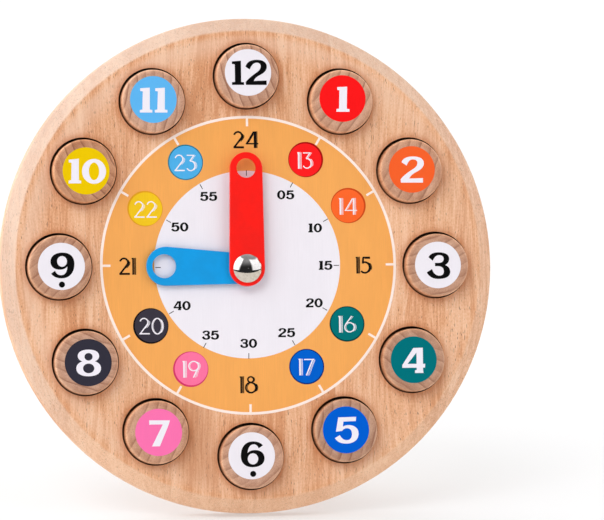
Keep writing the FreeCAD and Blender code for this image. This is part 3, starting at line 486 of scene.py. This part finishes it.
def brushed(name, colour, rough):
    """Zinc-plated steel: cloudy passivation with fine crystalline grain."""
    m = Mat(name, Metallic=1.0)
    p = m.local(ORIGIN, BOARD_ROT)
    cloud = m.noise(p, 0.30, 3.0, 0.6)
    grain = m.noise(p, 3.0, 2.0, 0.6)
    dist, cid = m.voronoi(p, 0.9)
    c = m.mix(m.smooth(cloud, 0.25, 0.75), colour, shade(colour, 0.80))
    c = m.mix(m.mul(dist, 0.25), c, lin(210, 205, 180))
    r = m.muladd(m.sub(cloud, 0.5), 0.2, m.muladd(grain, 0.1, rough))
    return m.finish(c, r, m.bump(grain, 0.00002, 0.35))


def polished(name):
    """Chrome dome: mirror finish with a trace of haze and hairline swirls."""
    m = Mat(name, Metallic=1.0)
    p = m.local(ORIGIN, BOARD_ROT)
    haze = m.noise(p, 0.6, 3.0, 0.6)
    hair = m.noise(p, 9.0, 2.0, 0.7)
    c = m.mix(m.smooth(haze, 0.3, 0.75), lin(214, 212, 212), lin(200, 197, 196))
    r = m.muladd(m.smooth(haze, 0.35, 0.8), 0.03, m.muladd(hair, 0.03, 0.035))
    return m.finish(c, r, m.bump(hair, 0.000004, 0.2))


def rubber(name):
    m = Mat(name, Specular_IOR_Level=0.35)
    p = m.local(ORIGIN, BOARD_ROT)
    grain = m.noise(p, 2.2, 3.0, 0.6)
    cloud = m.noise(p, 0.2, 2.0)
    c = m.mix(m.smooth(cloud, 0.3, 0.7), lin(44, 43, 42), lin(31, 30, 30))
    c = m.mix(m.mul(m.smooth(grain, 0.6, 0.85), 0.3), c, lin(84, 80, 76))
    r = m.muladd(grain, 0.2, 0.62)
    return m.finish(c, r, m.bump(grain, 0.00006, 0.5))


def clear(name):
    """Clear acrylic cover: most light passes straight, with faint smudges and hairlines."""
    m = Mat(name, Transmission_Weight=1.0, IOR=1.49, Alpha=0.22)
    p = m.local(ORIGIN, BOARD_ROT)
    smudge = m.noise(p, 0.05, 4.0, 0.6, 0.8)
    hair = m.noise(p, 1.5, 3.0, 0.7, 2.0)
    c = m.mix(m.smooth(smudge, 0.35, 0.7), lin(240, 246, 246), lin(228, 238, 240))
    r = m.muladd(m.smooth(smudge, 0.45, 0.8), 0.03, m.muladd(m.smooth(hair, 0.6, 0.8), 0.02, 0.005))
    return m.finish(c, r, m.bump(smudge, 0.00003, 0.08))


RED = lin(249, 21, 12)
BLUE = lin(6, 154, 225)
dress("minute_hand", painted("red_hand_mat", RED))
dress("hour_hand", painted("blue_hand_mat", BLUE))
dress("hour_wheel", moulded("blue_acetal_mat", lin(40, 120, 205)))
dress("cannon_pinion", moulded("red_acetal_mat", lin(220, 45, 38)))
white_acetal = moulded("white_acetal_mat", lin(236, 235, 230))
for n in ("intermediate_gear", "hand_washer"):
    dress(n, white_acetal)
dress("dome_nut", polished("chrome_mat"))
brass = turned("brass_mat", lin(214, 172, 92), 0.22)
for n in ("centre_bush", "arbor_bearing"):
    dress(n, brass)
steel = turned("steel_mat", lin(196, 197, 200), 0.24)
for n in ("minute_arbor", "intermediate_stud", "stud_clip", "hinge_pin"):
    dress(n, steel)
zinc = brushed("zinc_steel_mat", lin(205, 207, 210), 0.30)
for n in ["cover_screw_%d" % i for i in range(1, 7)] + ["bracket_screw_%d" % i for i in range(1, 5)] + ["leg_bracket"]:
    dress(n, zinc)
rub = rubber("rubber_mat")
for n in ("foot_pad_left", "foot_pad_right", "friction_washer"):
    dress(n, rub)
dress("rear_cover", clear("clear_acrylic_mat"))


# ---------------------------------------------------------- print: geometry


def circle(cx, cy, rx, ry=None, n=96):
    ry = rx if ry is None else ry
    return [(cx + rx * math.cos(2 * math.pi * i / n), cy + ry * math.sin(2 * math.pi * i / n)) for i in range(n)]


def area2(pts):
    return sum(pts[i - 1][0] * pts[i][1] - pts[i][0] * pts[i - 1][1] for i in range(len(pts)))


def slab(name, fills, cuts, w0, w1, body, material):
    """A thin closed sheet on the board frame: the union of fills less cuts, from w0 to w1."""
    verts, faces, cut_from = [], [], len(fills)
    for pts in list(fills) + list(cuts):
        if area2(pts) < 0:
            pts = pts[::-1]
        base = len(verts)
        verts += [Vector((float(x), float(y))) for x, y in pts]
        faces.append(list(range(base, base + len(pts))))
    co, _, tris, _, _, origin = geometry.delaunay_2d_cdt(verts, [], faces, 0, 1e-5, True)
    keep = []
    for tri, src in zip(tris, origin):
        if src and any(i < cut_from for i in src) and not any(i >= cut_from for i in src):
            keep.append(list(tri))
    edges = {}
    for tri in keep:
        for i in range(len(tri)):
            a, b = tri[i], tri[(i + 1) % len(tri)]
            edges[(a, b)] = True
    border = [(a, b) for (a, b) in edges if (b, a) not in edges]
    used = sorted({i for tri in keep for i in tri})
    at = {old: new for new, old in enumerate(used)}
    n = len(used)
    points = [bp(co[i].x, co[i].y, w1) for i in used] + [bp(co[i].x, co[i].y, w0) for i in used]
    polys = [[at[i] for i in tri] for tri in keep]
    polys += [[at[i] + n for i in reversed(tri)] for tri in keep]
    polys += [[at[b], at[a], at[a] + n, at[b] + n] for a, b in border]
    mesh = bpy.data.meshes.new(name)
    mesh.from_pydata([tuple(q) for q in points], [], polys)
    mesh.validate()
    mesh.update()
    mesh.materials.append(material)
    o = bpy.data.objects.new(name, mesh)
    bpy.context.scene.collection.objects.link(o)
    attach(o, body)
    return o


def ink(name, colour, rough=0.42, grain=0.06, spec=0.32):
    """Screen ink on wood: the grain shows faintly through as fine vertical lines."""
    m = Mat(name, Specular_IOR_Level=spec)
    p = m.local(ORIGIN, BOARD_ROT)
    u, v, w = m.split(p)
    fibre = m.noise(m.join(m.mul(u, 2.2), m.mul(v, 0.06), m.mul(w, 0.5)), 1.0, 3.0, 0.6)
    cloud = m.noise(m.join(m.mul(u, 0.10), m.mul(v, 0.03), 0.0), 1.0, 3.0, 0.55)
    speck = m.noise(p, 2.8, 2.0, 0.6)
    c = m.mix(m.smooth(cloud, 0.3, 0.7), shade(colour, 1.0 + 0.25 * grain), shade(colour, 1.0 - 0.5 * grain))
    c = m.mix(m.smooth(fibre, 0.35, 0.80), c, shade(colour, 1.0 - grain))
    r = m.muladd(m.sub(speck, 0.5), 0.14, m.muladd(fibre, 0.1, rough - 0.05))
    h = m.muladd(fibre, 0.7, m.mul(speck, 0.3))
    return m.finish(c, r, m.bump(h, 0.00004, 0.35))


# -------------------------------------------------- print: slab-serif numbers

# outlines in a cell of 450 units with the label's centre at (225, 225), y down
GLYPHS = {
    "1": ["M168,345 L168,321 L192,317 L198,150 L178,147 L178,121 L268,117 L262,317 L286,322 L286,345 Z"],
    "2": ["M124,345 L121,316 C140,285 190,250 235,222 C268,200 276,185 276,165 C276,146 260,134 236,134 C212,134 194,148 178,190 L132,160 C142,125 180,107 238,107 C300,107 335,130 335,168 C335,205 305,228 262,250 C235,264 212,282 200,308 L325,304 L325,345 Z"],
    "3": ["M140,155 C152,125 185,110 232,110 C292,110 328,130 328,168 C328,195 312,215 290,226 C320,236 336,258 336,288 C336,328 298,352 228,352 C176,352 140,330 122,292 L170,262 C182,300 205,322 236,322 C262,322 278,308 278,284 C278,256 262,238 232,236 L198,236 L198,206 L230,206 C262,206 278,192 278,168 C278,148 262,136 238,136 C212,136 192,150 178,187 Z"],
    "4": ["M222,118 L308,116 L308,262 L328,262 L326,297 L308,297 L308,322 L312,345 L234,345 L236,320 L250,318 L250,297 L120,297 L120,272 Z", "-M250,160 L250,262 L168,262 Z"],
    "5": ["M156,112 L318,108 L314,146 L202,150 L196,196 C212,186 232,182 254,182 C306,184 338,214 338,258 C338,312 298,349 226,349 C176,349 142,332 124,298 L168,272 C182,300 202,318 232,318 C262,318 278,296 278,262 C278,230 262,210 232,210 C214,210 200,218 190,234 L134,240 Z"],
    "6": ["M326,133 C310,108 276,96 236,96 C168,96 127,148 127,226 C127,292 168,328 232,328 C300,328 340,296 340,248 C340,202 306,174 256,174 C226,174 204,182 188,200 C192,152 212,122 244,122 C264,122 278,134 289,158 Z", "-E236,253,47,50", "E236,388,27,27"],
    "7": ["M140,116 L326,118 L318,150 L234,350 L164,350 L262,154 L150,154 L142,160 Z"],
    "8": ["M228,109 C290,109 322,132 322,166 C322,190 306,206 284,214 C318,226 338,246 338,278 C338,320 298,348 228,348 C158,348 118,320 118,278 C118,246 138,226 172,214 C150,206 132,190 132,166 C132,132 166,109 228,109 Z", "-E228,173,36,34", "-E228,277,50,43"],
    "9": ["M133,290 C152,318 186,332 226,332 C298,332 341,280 341,202 C341,138 302,101 236,101 C168,101 128,134 128,182 C128,228 162,254 210,254 C242,254 264,244 278,226 C276,276 256,304 222,304 C196,304 178,290 168,263 Z", "-E231,180,44,48", "E228,388,27,27"],
    "10": ["M69,337 L69,313 L92,309 L97,152 L72,148 L72,124 L162,116 L160,309 L180,313 L180,337 Z", "E296,229,107,112", "-E296,229,46,79"],
    "11": ["M103,343 L103,320 L126,316 L131,152 L108,149 L108,124 L194,118 L192,316 L215,320 L215,343 Z", "M237,343 L237,320 L260,316 L266,152 L243,149 L243,124 L329,118 L327,316 L350,320 L350,343 Z"],
    "12": ["M79,338 L79,314 L106,311 L106,152 L80,149 L80,126 L162,118 L162,311 L188,314 L188,338 Z", "M205,338 L203,312 C222,284 270,248 304,224 C332,204 340,188 340,168 C340,148 326,136 304,136 C280,136 258,154 240,198 L203,173 C212,132 250,110 306,110 C362,110 395,134 395,172 C395,208 368,230 330,250 C302,264 284,280 276,302 L392,298 L392,338 Z"],
    "0": ["E296,230,108,119", "-E296,230,46,84"],
}


def outline(text, steps=10):
    """Points of one contour written with M, L, C, Z or as an ellipse E cx,cy,rx,ry."""
    if text[0] == "E":
        cx, cy, rx, ry = (float(x) for x in text[1:].split(","))
        return circle(cx, cy, rx, ry, 44)
    pts, op, todo = [], "", []
    for part in text.split():
        if part[0] in "MLCZ":
            op, part = part[0], part[1:]
            todo = []
        if not part:
            continue
        x, y = (float(q) for q in part.split(","))
        if op in "ML":
            pts.append((x, y))
        elif op == "C":
            todo.append((x, y))
            if len(todo) == 3:
                p0, (p1, p2, p3) = pts[-1], todo
                for i in range(1, steps + 1):
                    t = i / steps
                    s = 1 - t
                    pts.append(tuple(s**3 * p0[j] + 3 * s * s * t * p1[j] + 3 * s * t * t * p2[j] + t**3 * p3[j] for j in (0, 1)))
                todo = []
    return pts


def glyph(key, place):
    """(fills, cuts) of a numeral, each point put through place(x, y)."""
    fills, cuts = [], []
    for text in GLYPHS[key]:
        cut = text[0] == "-"
        pts = [place(x, y) for x, y in outline(text.lstrip("-"))]
        (cuts if cut else fills).append(pts)
    return fills, cuts


# ------------------------------------------------------ print: inline numbers

# the 24-hour numbers: a bold stroke with two hairlines beside it, in units of 1/19.4 mm
HAIR = [7.0, 1.0]                # hairline width, and a factor on the bold strokes


def arc(cx, cy, rx, ry, a0, a1, n=20):
    return [
        (cx + rx * math.cos(math.radians(a0 + (a1 - a0) * i / n)), cy + ry * math.sin(math.radians(a0 + (a1 - a0) * i / n)))
        for i in range(n + 1)
    ]


def ribbon(pts, width, closed=False):
    """A stroked path as quads."""
    if width > 10:
        width *= HAIR[1]
    n = len(pts)
    left, right = [], []
    for i, (x, y) in enumerate(pts):
        a = pts[i - 1] if (closed or i) else pts[i]
        b = pts[(i + 1) % n] if (closed or i < n - 1) else pts[i]
        ux, uy = x - a[0], y - a[1]
        vx, vy = b[0] - x, b[1] - y
        lu, lv = math.hypot(ux, uy), math.hypot(vx, vy)
        if lu < 1e-9:
            ux, uy, lu = vx, vy, lv
        if lv < 1e-9:
            vx, vy, lv = ux, uy, lu
        tx, ty = ux / lu + vx / lv, uy / lu + vy / lv
        q = math.hypot(tx, ty) or 1.0
        c = max(-0.5, min(1.0, (ux * vx + uy * vy) / (lu * lv)))
        h = width / 2 / math.sqrt((1 + c) / 2)
        left.append((x - ty / q * h, y + tx / q * h))
        right.append((x + ty / q * h, y - tx / q * h))
    quads = []
    for i in range(n if closed else n - 1):
        j = (i + 1) % n
        quads.append([left[i], left[j], right[j], right[i]])
    return quads


def deco(ch):
    """(quads, advance width) of one inline digit, 187 units high, y down."""
    T = HAIR[0]
    q = []
    if ch == "1":
        q += [[(0, 0), (24, 0), (24, 187), (6, 187), (6, 16), (0, 12)]]
        q += ribbon([(31, 0), (31, 187)], T - 1) + ribbon([(42, 0), (42, 187)], T - 1)
        return q, 48
    if ch == "2":
        a = arc(50, 50, 42, 44, -165, 40, 22)
        q += ribbon(a + [(8, 178)], 15) + ribbon([(0, 178), (112, 178)], 17)
        q += ribbon([(x + 13, y + 2) for x, y in a[14:]] + [(62, 118)], T - 1)
        q += ribbon([(x + 22, y + 4) for x, y in a[16:]] + [(80, 112)], T - 2)
        return q, 120
    if ch == "3":
        q += ribbon([(2, 8), (86, 8)], 14) + ribbon([(78, 10), (36, 72)], 15)
        a = arc(44, 126, 46, 54, -100, 150, 26)
        q += ribbon(a, 14)
        q += ribbon([(x + 12, y) for x, y in a[2:18]], T - 1) + ribbon([(x + 22, y) for x, y in a[4:15]], T - 2)
        q += ribbon([(98, 6), (56, 66)], T - 2)
        return q, 118
    if ch == "4":
        q += ribbon([(88, 4), (10, 138)], 14) + ribbon([(0, 138), (136, 138)], 12)
        q += ribbon([(98, 0), (98, 187)], 17) + ribbon([(112, 0), (112, 187)], T - 1) + ribbon([(122, 0), (122, 187)], T - 2)
        q += ribbon([(84, 34), (32, 124)], T - 3)
        return q, 138
    if ch == "5":
        q += ribbon([(16, 8), (96, 8)], 14) + ribbon([(22, 8), (16, 76)], 15)
        a = arc(38, 120, 52, 60, -115, 140, 26)
        q += ribbon(a, 15) + ribbon([(x + 13, y) for x, y in a[3:19]], T - 1) + ribbon([(x + 23, y) for x, y in a[6:15]], T - 2)
        q += ribbon([(36, 20), (96, 20)], T - 3)
        return q, 116
    if ch == "6":
        q += ribbon([(86, 2), (20, 92)], 15) + ribbon(arc(60, 128, 52, 52, 0, 360, 40)[:-1], 14, True)
        q += ribbon([(x + 12, y) for x, y in arc(60, 128, 52, 52, -60, 60, 16)], T - 1)
        q += ribbon([(x + 22, y) for x, y in arc(60, 128, 52, 52, -48, 48, 16)], T - 2)
        q += ribbon([(102, 4), (72, 44)], T - 2) + ribbon(arc(66, 128, 44, 44, 120, 240, 16), T - 3)
        return q, 136
    if ch == "7":
        q += ribbon([(0, 9), (112, 9)], 15) + ribbon([(96, 8), (24, 187)], 17)
        q += ribbon([(110, 18), (42, 187)], T - 1) + ribbon([(120, 14), (54, 187)], T - 2)
        return q, 122
    if ch == "8":
        q += ribbon(arc(58, 36, 31, 31, 0, 360, 32)[:-1], 13, True) + ribbon(arc(58, 126, 54, 56, 0, 360, 40)[:-1], 14, True)
        q += ribbon([(x + 12, y) for x, y in arc(58, 126, 54, 56, -60, 60, 16)], T - 1)
        q += ribbon([(x + 21, y) for x, y in arc(58, 126, 54, 56, -46, 46, 16)], T - 2)
        q += ribbon([(x + 11, y) for x, y in arc(58, 36, 31, 31, -55, 55, 12)], T - 2) + ribbon(arc(66, 126, 46, 48, 120, 240, 16), T - 3)
        return q, 138
    if ch == "9":
        q += ribbon(arc(60, 58, 52, 52, 0, 360, 40)[:-1], 14, True) + ribbon([(104, 84), (56, 187)], 16)
        q += ribbon([(x + 12, y) for x, y in arc(60, 58, 52, 52, -60, 50, 16)] + [(78, 187)], T - 1)
        q += ribbon([(x + 22, y) for x, y in arc(60, 58, 52, 52, -48, 44, 16)] + [(92, 180)], T - 2)
        q += ribbon(arc(66, 58, 44, 44, 120, 240, 16), T - 3)
        return q, 136
    if ch == "0":
        q += ribbon(arc(62, 94, 56, 87, 0, 360, 44)[:-1], 14, True)
        q += ribbon([(x - 12, y) for x, y in arc(62, 94, 56, 87, -66, 66, 20)], T - 2)
        q += ribbon([(x + 12, y) for x, y in arc(62, 94, 56, 87, 114, 246, 20)], T - 2)
        q += ribbon([(x + 11, y) for x, y in arc(62, 94, 56, 87, -55, 55, 20)], T - 1)
        return q, 134
    raise ValueError(ch)


def deco_number(text, cx, cy, height=9.6, gap=12.0, squeeze=1.0):
    """Quads of a 24-hour number centred at (cx, cy) in board millimetres."""
    parts, x = [], 0.0
    for ch in text:
        q, w = deco(ch)
        parts += [[(px + x, py) for px, py in poly] for poly in q]
        x += w + gap
    wide = x - gap
    s = height / 187.0
    return [[(cx + (px - wide / 2) * s * squeeze, cy - (py - 93.5) * s) for px, py in poly] for poly in parts]


# ------------------------------------------------------------- print: dial

WHITE = lin(238, 233, 240)
ORANGE = lin(244, 169, 88)
CREAM = lin(253, 236, 226)
BLACK = lin(4, 4, 6)

TICK_C, TICK_R = (-1.1, -0.35), 52.7

white_ink = ink("dial_white_ink", WHITE, grain=0.035)
orange_ink = ink("dial_orange_ink", ORANGE, grain=0.07)
cream_ink = ink("dial_cream_ink", CREAM, grain=0.03)
black_ink = ink("dial_black_ink", BLACK, rough=0.5, grain=0.10, spec=0.15)

RING_C, RING_R, RING_W = (-0.5, -0.25), 83.65, 1.5
DISC_C, DISC_R = (-1.25, 0.1), 52.95

slab("print_orange_ring", [circle(*RING_C, RING_R - 0.3, n=180)], [circle(*DISC_C, DISC_R - 0.4, n=160)], -0.03, 0.05, "board", orange_ink)
slab("print_white_disc", [circle(*DISC_C, DISC_R, n=160)], [circle(*HUB, 6.9, n=64)], -0.03, 0.07, "board", white_ink)

ticks = []
for i in range(12):
    t = math.radians(30 * i)
    dx, dy = math.sin(t), math.cos(t)
    r0, r1, h = RING_R - 4.46 - RING_W / 2, RING_R, 0.65
    ticks.append([
        (RING_C[0] + dx * r0 - dy * h, RING_C[1] + dy * r0 + dx * h),
        (RING_C[0] + dx * r1 - dy * h, RING_C[1] + dy * r1 + dx * h),
        (RING_C[0] + dx * r1 + dy * h, RING_C[1] + dy * r1 - dx * h),
        (RING_C[0] + dx * r0 + dy * h, RING_C[1] + dy * r0 - dx * h),
    ])
ring_quads = ribbon(circle(*RING_C, RING_R, n=180), RING_W, True)
slab("print_ring_line", ring_quads + ticks, [], -0.03, 0.09, "board", cream_ink)

# the minute marks are a little out of register, each by its own amount
TICK_AT = [(-0.1, 1.0), (0.0, 1.0), (0.55, -0.3), (-0.45, -0.3), (-0.5, 0.6), (0.1, 0.4),
           (0.0, 0.0), (0.6, -0.7), (0.6, -0.8), (0.2, -1.0), (-0.4, -0.6), (-0.3, 0.1)]
ticks = []
for i, (mu, mv) in enumerate(TICK_AT):
    t = math.radians(30 * i)
    dx, dy = math.sin(t), math.cos(t)
    mu, mv = TICK_C[0] + mu, TICK_C[1] + mv
    r0, r1, h = TICK_R - 3.1, TICK_R, 0.21
    ticks.append([
        (mu + dx * r0 - dy * h, mv + dy * r0 + dx * h),
        (mu + dx * r1 - dy * h, mv + dy * r1 + dx * h),
        (mu + dx * r1 + dy * h, mv + dy * r1 - dx * h),
        (mu + dx * r0 + dy * h, mv + dy * r0 - dx * h),
    ])
slab("print_minute_ticks", ticks, [], -0.02, 0.10, "board", black_ink)

# minutes: 05 .. 55, centres on the dial in millimetres
MINUTES = {
    "05": (21.1, 39.4), "10": (37.7, 20.6), "15": (43.4, -0.6), "20": (36.6, -21.8), "25": (20.6, -38.5), "30": (-1.2, -44.4),
    "35": (-22.8, -39.6), "40": (-38.7, -22.9), "45": (-36.0, -0.4), "50": (-39.5, 21.4), "55": (-22.9, 38.6), "60": (-1.4, 43.8),
}
SMALL = {"0": 4.55, "1": 2.6, "2": 4.5, "3": 4.55, "4": 4.45, "5": 4.55, "6": 4.6}


def grow(pts, by):
    """A closed outline moved outward by a distance."""
    sign = 1.0 if area2(pts) > 0 else -1.0
    out, n = [], len(pts)
    for i, (x, y) in enumerate(pts):
        (ax, ay), (bx, by_) = pts[i - 1], pts[(i + 1) % n]
        ux, uy, vx, vy = x - ax, y - ay, bx - x, by_ - y
        lu, lv = math.hypot(ux, uy) or 1.0, math.hypot(vx, vy) or 1.0
        nx, ny = uy / lu + vy / lv, -(ux / lu + vx / lv)
        q = math.hypot(nx, ny) or 1.0
        out.append((x + sign * by * nx / q, y + sign * by * ny / q))
    return out


fills, cuts = [], []
for text, (cx, cy) in MINUTES.items():
    widths = [SMALL[ch] for ch in text]
    x = cx - (sum(widths) + 0.5) / 2
    for ch, wide in zip(text, widths):
        f, c = glyph(ch, lambda a, b: (a, b))
        if ch == "6":
            f = f[:1]
        xs = [q[0] for poly in f for q in poly]
        ys = [q[1] for poly in f for q in poly]
        kx, ky = wide / (max(xs) - min(xs)), 4.95 / (max(ys) - min(ys))
        place = lambda q: (x + (q[0] - min(xs)) * kx, cy + 2.475 - (q[1] - min(ys)) * ky)
        fills += [grow([place(q) for q in poly], 0.11) for poly in f]
        cuts += [grow([place(q) for q in poly], -0.04) for poly in c]
        x += wide + 0.5
slab("print_minute_numbers", fills, cuts, -0.02, 0.10, "board", black_ink)

# coloured dots of the 24-hour ring: centre, colour, direction in which the underlay shows
DOTS = {
    "13": ((32.5, 59.1), lin(250, 30, 33), (0.30, 0.24), lin(168, 14, 18)),
    "14": ((56.6, 33.0), lin(248, 103, 44), (0.30, 0.22), lin(206, 72, 28)),
    "16": ((55.3, -33.7), lin(0, 112, 115), (-0.02, -0.14), lin(2, 62, 60)),
    "17": ((31.8, -57.7), lin(0, 95, 203), (0.04, -0.08), lin(2, 48, 112)),
    "19": ((-33.9, -58.4), lin(249, 115, 160), (-0.32, -0.28), lin(214, 56, 104)),
    "20": ((-56.25, -34.0), lin(58, 54, 65), (-0.30, -0.20), lin(20, 16, 20)),
    "22": ((-58.8, 31.6), lin(240, 196, 34), (-0.30, 0.20), lin(228, 160, 34)),
    "23": ((-35.75, 57.8), lin(79, 174, 230), (-0.05, 0.06), lin(34, 122, 146)),
}
number_ink = ink("number_white_ink", lin(240, 235, 242), grain=0.02)
for text, (c, colour, off, deep) in DOTS.items():
    under = ink("dot_edge_ink_" + text, deep, grain=0.10, spec=0.05)
    top = ink("dot_ink_" + text, colour, grain=0.06, spec=0.05)
    slab("print_dot_edge_" + text, [circle(c[0] + off[0], c[1] + off[1], 10.02, n=72)], [], -0.02, 0.09, "board", under)
    slab("print_dot_" + text, [circle(c[0], c[1], 9.36, n=72)], [], -0.01, 0.11, "board", top)
    HAIR[:] = [6.2, 0.86]
    slab("print_hour_" + text, deco_number(text, c[0] + 0.2, c[1] - 0.3, 9.4, squeeze=1.04), [], 0.0, 0.13, "board", number_ink)
HAIR[:] = [9.2, 1.32]
for text, hour, radius in (("15", 3, 66.6), ("18", 6, 67.1), ("21", 9, 68.0), ("24", 12, 71.2)):
    cu, cv = clock_uv(hour, radius)
    slab("print_hour_" + text, deco_number(text, cu - 1.2, cv - 0.6, 9.45, squeeze=1.05), [], -0.02, 0.11, "board", black_ink)

# ------------------------------------------------------------ peg labels

LABELS = {
    1: (lin(247, 24, 26), 0), 2: (lin(242, 96, 43), 0), 3: (lin(236, 231, 238), 1), 4: (lin(0, 111, 119), 0),
    5: (lin(0, 92, 206), 0), 6: (lin(236, 231, 238), 1), 7: (lin(246, 114, 173), 0), 8: (lin(51, 49, 61), 0),
    9: (lin(236, 231, 238), 1), 10: (lin(233, 195, 4), 0), 11: (lin(93, 178, 236), 0), 12: (lin(236, 231, 238), 1),
}
label_black = ink("label_black_ink", lin(3, 3, 5), rough=0.5, grain=0.08, spec=0.12)
# the labels were stuck on by hand, each a little off the peg's centre
LABEL_AT = {
    1: (0.22, 1.45), 2: (0.19, 0.53), 3: (0.05, -0.03), 4: (-0.27, 0.10), 5: (-0.37, 0.24), 6: (-0.60, 0.66),
    7: (0.63, -0.03), 8: (0.71, 0.06), 9: (0.59, 0.22), 10: (0.63, -0.01), 11: (-0.23, 0.84), 12: (0.05, 1.77),
}
label_white = ink("label_white_ink", lin(238, 233, 242), grain=0.02)
for k, (colour, dark) in LABELS.items():
    cu, cv = clock_uv(k, PITCH, PEG_OFF)
    cu += LABEL_AT[k][0]
    cv += LABEL_AT[k][1]
    body, mat = "peg_%d" % k, ink("label_ink_%d" % k, colour, rough=0.36, grain=0.03, spec=0.32 if dark else 0.05)
    slab("label_%d" % k, [circle(cu, cv, 13.2, n=96)], [], PEG_TOP - 0.03, PEG_TOP + 0.05, body, mat)
    f, c = glyph(str(k), lambda a, b: (cu + (a - 225) / 15.85, cv + (225 - b) / 16.05))
    slab("number_%d" % k, f, c, PEG_TOP - 0.02, PEG_TOP + 0.08, body, label_black if dark else label_white)


# ------------------------------------------------------------------- stage

scene = bpy.context.scene


def stage_mesh(name, verts, faces, material):
    mesh = bpy.data.meshes.new(name)
    mesh.from_pydata(verts, [], faces)
    mesh.update()
    mesh.materials.append(material)
    o = bpy.data.objects.new(name, mesh)
    scene.collection.objects.link(o)
    return o


floor_mat = bpy.data.materials.new("floor_mat")
floor_mat.use_nodes = True
fb = floor_mat.node_tree.nodes["Principled BSDF"]
fb.inputs["Base Color"].default_value = (0.45, 0.454, 0.462, 1.0)
fb.inputs["Roughness"].default_value = 0.9
fb.inputs["Specular IOR Level"].default_value = 0.1
fb.inputs["Emission Color"].default_value = (1.0, 1.0, 1.0, 1.0)
fb.inputs["Emission Strength"].default_value = 0.405
S = 60.0
floor = stage_mesh("floor", [(-S, -S, 0), (S, -S, 0), (S, S, 0), (-S, S, 0)], [(0, 1, 2, 3)], floor_mat)
floor.visible_glossy = False

# what the dome mirrors below it: the pale table top, which ends in front of the clock
table_mat = bpy.data.materials.new("table_mirror_mat")
table_mat.use_nodes = True
nt = table_mat.node_tree
nt.nodes.clear()
em = nt.nodes.new("ShaderNodeEmission")
em.inputs["Color"].default_value = lin(250, 240, 224)
em.inputs["Strength"].default_value = 1.05
mo = nt.nodes.new("ShaderNodeOutputMaterial")
nt.links.new(em.outputs[0], mo.inputs[0])
table = stage_mesh("table_mirror", [(-3, -0.63, 0.0003), (3, -0.63, 0.0003), (3, 6, 0.0003), (-3, 6, 0.0003)], [(0, 1, 2, 3)], table_mat)
table.visible_camera = False
table.visible_diffuse = False
table.visible_shadow = False
table.visible_transmission = False

# world: white to the camera, a studio with two tall softboxes to everything else
world = bpy.data.worlds.new("studio")
scene.world = world
world.use_nodes = True


class World(Mat):
    def __init__(self, w):
        self.tree = w.node_tree
        self.tree.nodes.clear()


W = World(world)
coords = W.node("ShaderNodeTexCoord")
x, y, z = W.split(coords.outputs["Generated"])
deg = 180.0 / math.pi
az = W.mul(W.math("ARCTAN2", W.mul(x, -1.0), W.mul(y, -1.0)), deg)      # 0 in front, + to the left
el = W.mul(W.math("ARCSINE", z), deg)
azr = W.mul(az, -1.0)
horizon = W.smooth(el, 0.5, 2.0)
inner = W.muladd(W.math("MINIMUM", el, 44.0), -0.25, 47.0)
left = W.mul(W.smooth(W.sub(az, inner), -7.0, 6.0), W.smooth(az, 168.0, 160.0))
left = W.mul(W.mul(left, W.smooth(el, 72.0, 62.0)), horizon)
top_edge = W.muladd(W.sub(azr, 74.0), -0.29, 49.0)
right = W.mul(W.smooth(W.add(azr, W.mul(el, 0.07)), 27.0, 41.0), W.smooth(azr, 140.0, 134.0))
right = W.mul(W.mul(right, W.smooth(W.sub(top_edge, el), -7.0, 6.0)), horizon)
back = W.mul(W.smooth(y, -0.2, 0.6), horizon)
above = W.smooth(el, 18.0, 64.0)
fill = W.muladd(back, 0.39, W.mul(above, 0.38))
light = W.add(W.muladd(left, 1.94, W.mul(right, 1.40)), W.add(fill, 0.03))
bg_light = W.node("ShaderNodeBackground")
bg_light.inputs["Color"].default_value = (1.0, 1.0, 1.0, 1.0)
W.put(bg_light.inputs["Strength"], light)
bg_view = W.node("ShaderNodeBackground")
bg_view.inputs["Color"].default_value = (1.0, 1.0, 1.0, 1.0)
path = W.node("ShaderNodeLightPath")
mixer = W.node("ShaderNodeMixShader")
wo = W.node("ShaderNodeOutputWorld")
W.put(mixer.inputs[0], path.outputs["Is Camera Ray"])
W.tree.links.new(bg_light.outputs[0], mixer.inputs[1])
W.tree.links.new(bg_view.outputs[0], mixer.inputs[2])
W.tree.links.new(mixer.outputs[0], wo.inputs[0])


def sun(name, direction, strength, angle, colour=(1, 1, 1)):
    """A sun lamp whose light comes from direction."""
    data = bpy.data.lights.new(name, "SUN")
    data.energy = strength
    data.angle = math.radians(angle)
    data.color = colour
    o = bpy.data.objects.new(name, data)
    scene.collection.objects.link(o)
    o.rotation_euler = Vector(direction).to_track_quat("Z", "Y").to_euler()
    o.visible_glossy = False
    return o


sun("key", (-0.355, -0.606, 0.712), 0.85, 30)

# ------------------------------------------------------------------ camera

right_v = Vector((0.986726, -0.161059, 0.020767)).normalized()
fwd = Vector((0.162323, 0.974454, -0.155214)).normalized()
up_v = right_v.cross(fwd).normalized()
cam_data = bpy.data.cameras.new("camera")
cam_data.sensor_fit = "HORIZONTAL"
cam_data.sensor_width = 36.0
cam_data.lens = 4612.0 / 604.0 * 36.0
cam_data.clip_start = 0.05
cam_data.clip_end = 200.0
cam = bpy.data.objects.new("camera", cam_data)
scene.collection.objects.link(cam)
rot = Matrix((right_v, up_v, -fwd)).transposed()
cam.matrix_world = Matrix.Translation(Vector((-0.392866, -2.559796, 0.547456))) @ rot.to_4x4()
scene.camera = cam

scene.view_settings.view_transform = "Standard"
scene.view_settings.look = "None"
scene.view_settings.exposure = 0.0
scene.view_settings.gamma = 1.0
